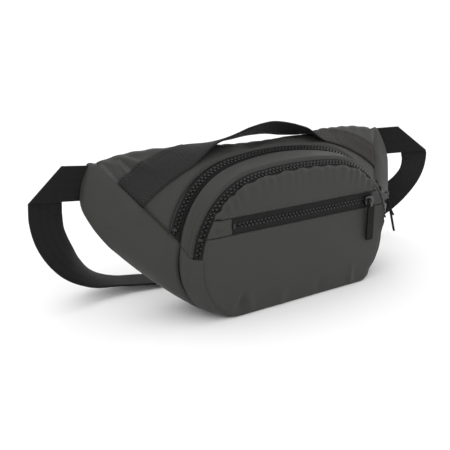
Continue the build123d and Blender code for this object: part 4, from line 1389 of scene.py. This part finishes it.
class BAG_OT_handle(bpy.types.Operator):
    """Grab handle: one webbing sewn down over the top panel at both ends, bending where it lifts off"""
    bl_idname = "waist_bag.handle"
    bl_label = "Handle webbing"

    def execute(self, context):
        runs = []
        for side, s in (("left", -1), ("right", 1)):
            p = handle_grid(s)
            n = grid_normals(p)
            n = n * np.sign(n[..., 2].mean())
            sign = np.sign((np.cross(np.gradient(p, axis=0), np.gradient(p, axis=1))[..., 2]).mean())
            run = lengths(p, 0)[:, p.shape[1] // 2]
            wide = np.linspace(0, 2 * WEB_HALF, p.shape[1])
            uv = np.stack(np.broadcast_arrays(run[:, None], wide[None]), -1)
            obj = grid_object(f"handle_webbing_{side}", p, flip=sign < 0, uv=uv)
            set_rim(obj, p, 1.2, "v")
            # Painted light: 0 on the free middle of the handle, rising to 1 where it lies on the panel 84 mm out; the
            # webbing material uses it to lighten the lit strips.
            painted_strip_light = np.clip((np.abs(p[..., 0]) - 58) / 26, 0, 1).astype(np.float32)
            obj.data.attributes.new("painted_strip_light", "FLOAT", "POINT").data.foreach_set("value", painted_strip_light.ravel())
            thicken(obj, settings()[0].webbing_thickness, 0.0)
            nodes = [f"handle_strip_{side}"] + (["handle_webbing"] if s < 0 else [])
            material = "webbing" if s < 0 else "webbing_warm"
            finish_piece(obj, None, finish_of(material), "webbing", *nodes)
            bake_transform(obj)
            at = np.abs(p[:, p.shape[1] // 2, 0])
            row = int(np.argmin(np.abs(at - 96)))
            last = len(p) - 4 if s > 0 else 3
            lift_by = n * 0.85
            for k in (row, row + (4 if s > 0 else -4)):
                runs.append((p[k, 2:-2] + lift_by[k, 2:-2], n[k, 2:-2]))
            a, b = sorted((row, last))
            for c in (2, -3):
                runs.append((p[a:b, c] + lift_by[a:b, c], n[a:b, c]))
        stitch_line("handle_stitching", runs, "thread_dark")
        return {"FINISHED"}


class BAG_OT_belt(bpy.types.Operator):
    """Belt webbing of both sides: out of the wing, folded down on the diagonal, round to the buckle and back"""
    bl_idname = "waist_bag.belt"
    bl_label = "Belt webbing"

    def execute(self, context):
        for side, s in (("left", -1), ("right", 1)):
            p, uv = belt_grid(s)
            obj = grid_object(f"belt_webbing_{side}", p, flip=s > 0, uv=uv)
            set_rim(obj, p, 1.2, "v")
            thicken(obj, settings()[0].webbing_thickness, 0.0)
            nodes = [f"belt_{side}_{part}" for part in ("run", "fold", "drop", "floor", "tail")]
            finish_piece(obj, "bag", finish_of("webbing"), "webbing", *nodes)
        return {"FINISHED"}


class BAG_OT_hardware(bpy.types.Operator):
    """Finishes for the sliders, pulls, stops, buckle and keeper that keep their frame shapes"""
    bl_idname = "waist_bag.hardware"
    bl_label = "Sliders, pulls and buckle"

    def execute(self, context):
        for name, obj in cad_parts.items():
            if obj.hide_render:
                continue
            if name.endswith(("_slider", "_link")):
                kind = "slider_metal"
            elif name.endswith("_stops"):
                kind = "zip_teeth"
            elif name.endswith("_tab"):
                kind = "pull_tab"
            elif name.startswith("buckle"):
                kind = "buckle_plastic"
            elif name == "tail_keeper":
                kind = "elastic"
            else:
                raise RuntimeError(f"{name} has no finish")
            obj.data.materials.clear()
            obj.data.materials.append(finish_of(kind))
        return {"FINISHED"}


class BAG_PT_panel(bpy.types.Panel):
    """Sidebar panel that lists the making steps"""
    bl_idname = "BAG_PT_panel"
    bl_label = "Waist bag"
    bl_space_type = "VIEW_3D"
    bl_region_type = "UI"
    bl_category = "Waist bag"

    def draw(self, context):
        for group_name in ("bag_sizes", "bag_colours"):
            box = self.layout.box()
            owner = getattr(context.scene, group_name)
            for key in owner.__annotations__:
                box.prop(owner, key)
        for step in STEPS:
            self.layout.operator(step.bl_idname)


STEPS = [
    BAG_OT_stage,
    BAG_OT_front,
    BAG_OT_straight_zip,
    BAG_OT_arched_zips,
    BAG_OT_gusset,
    BAG_OT_top_and_wings,
    BAG_OT_base_and_lining,
    BAG_OT_back_pad,
    BAG_OT_handle,
    BAG_OT_belt,
    BAG_OT_hardware,
]
CLASSES = [BagSizes, BagColours, *STEPS, BAG_PT_panel]


def register():
    for cls in CLASSES:
        bpy.utils.register_class(cls)
    bpy.types.Scene.bag_sizes = PointerProperty(type=BagSizes)
    bpy.types.Scene.bag_colours = PointerProperty(type=BagColours)


def unregister():
    del bpy.types.Scene.bag_sizes
    del bpy.types.Scene.bag_colours
    for cls in reversed(CLASSES):
        bpy.utils.unregister_class(cls)


def main():
    register()
    for step in STEPS:
        group_name, op_name = step.bl_idname.split(".")
        getattr(getattr(bpy.ops, group_name), op_name)()


if __name__ == "__main__":
    main()
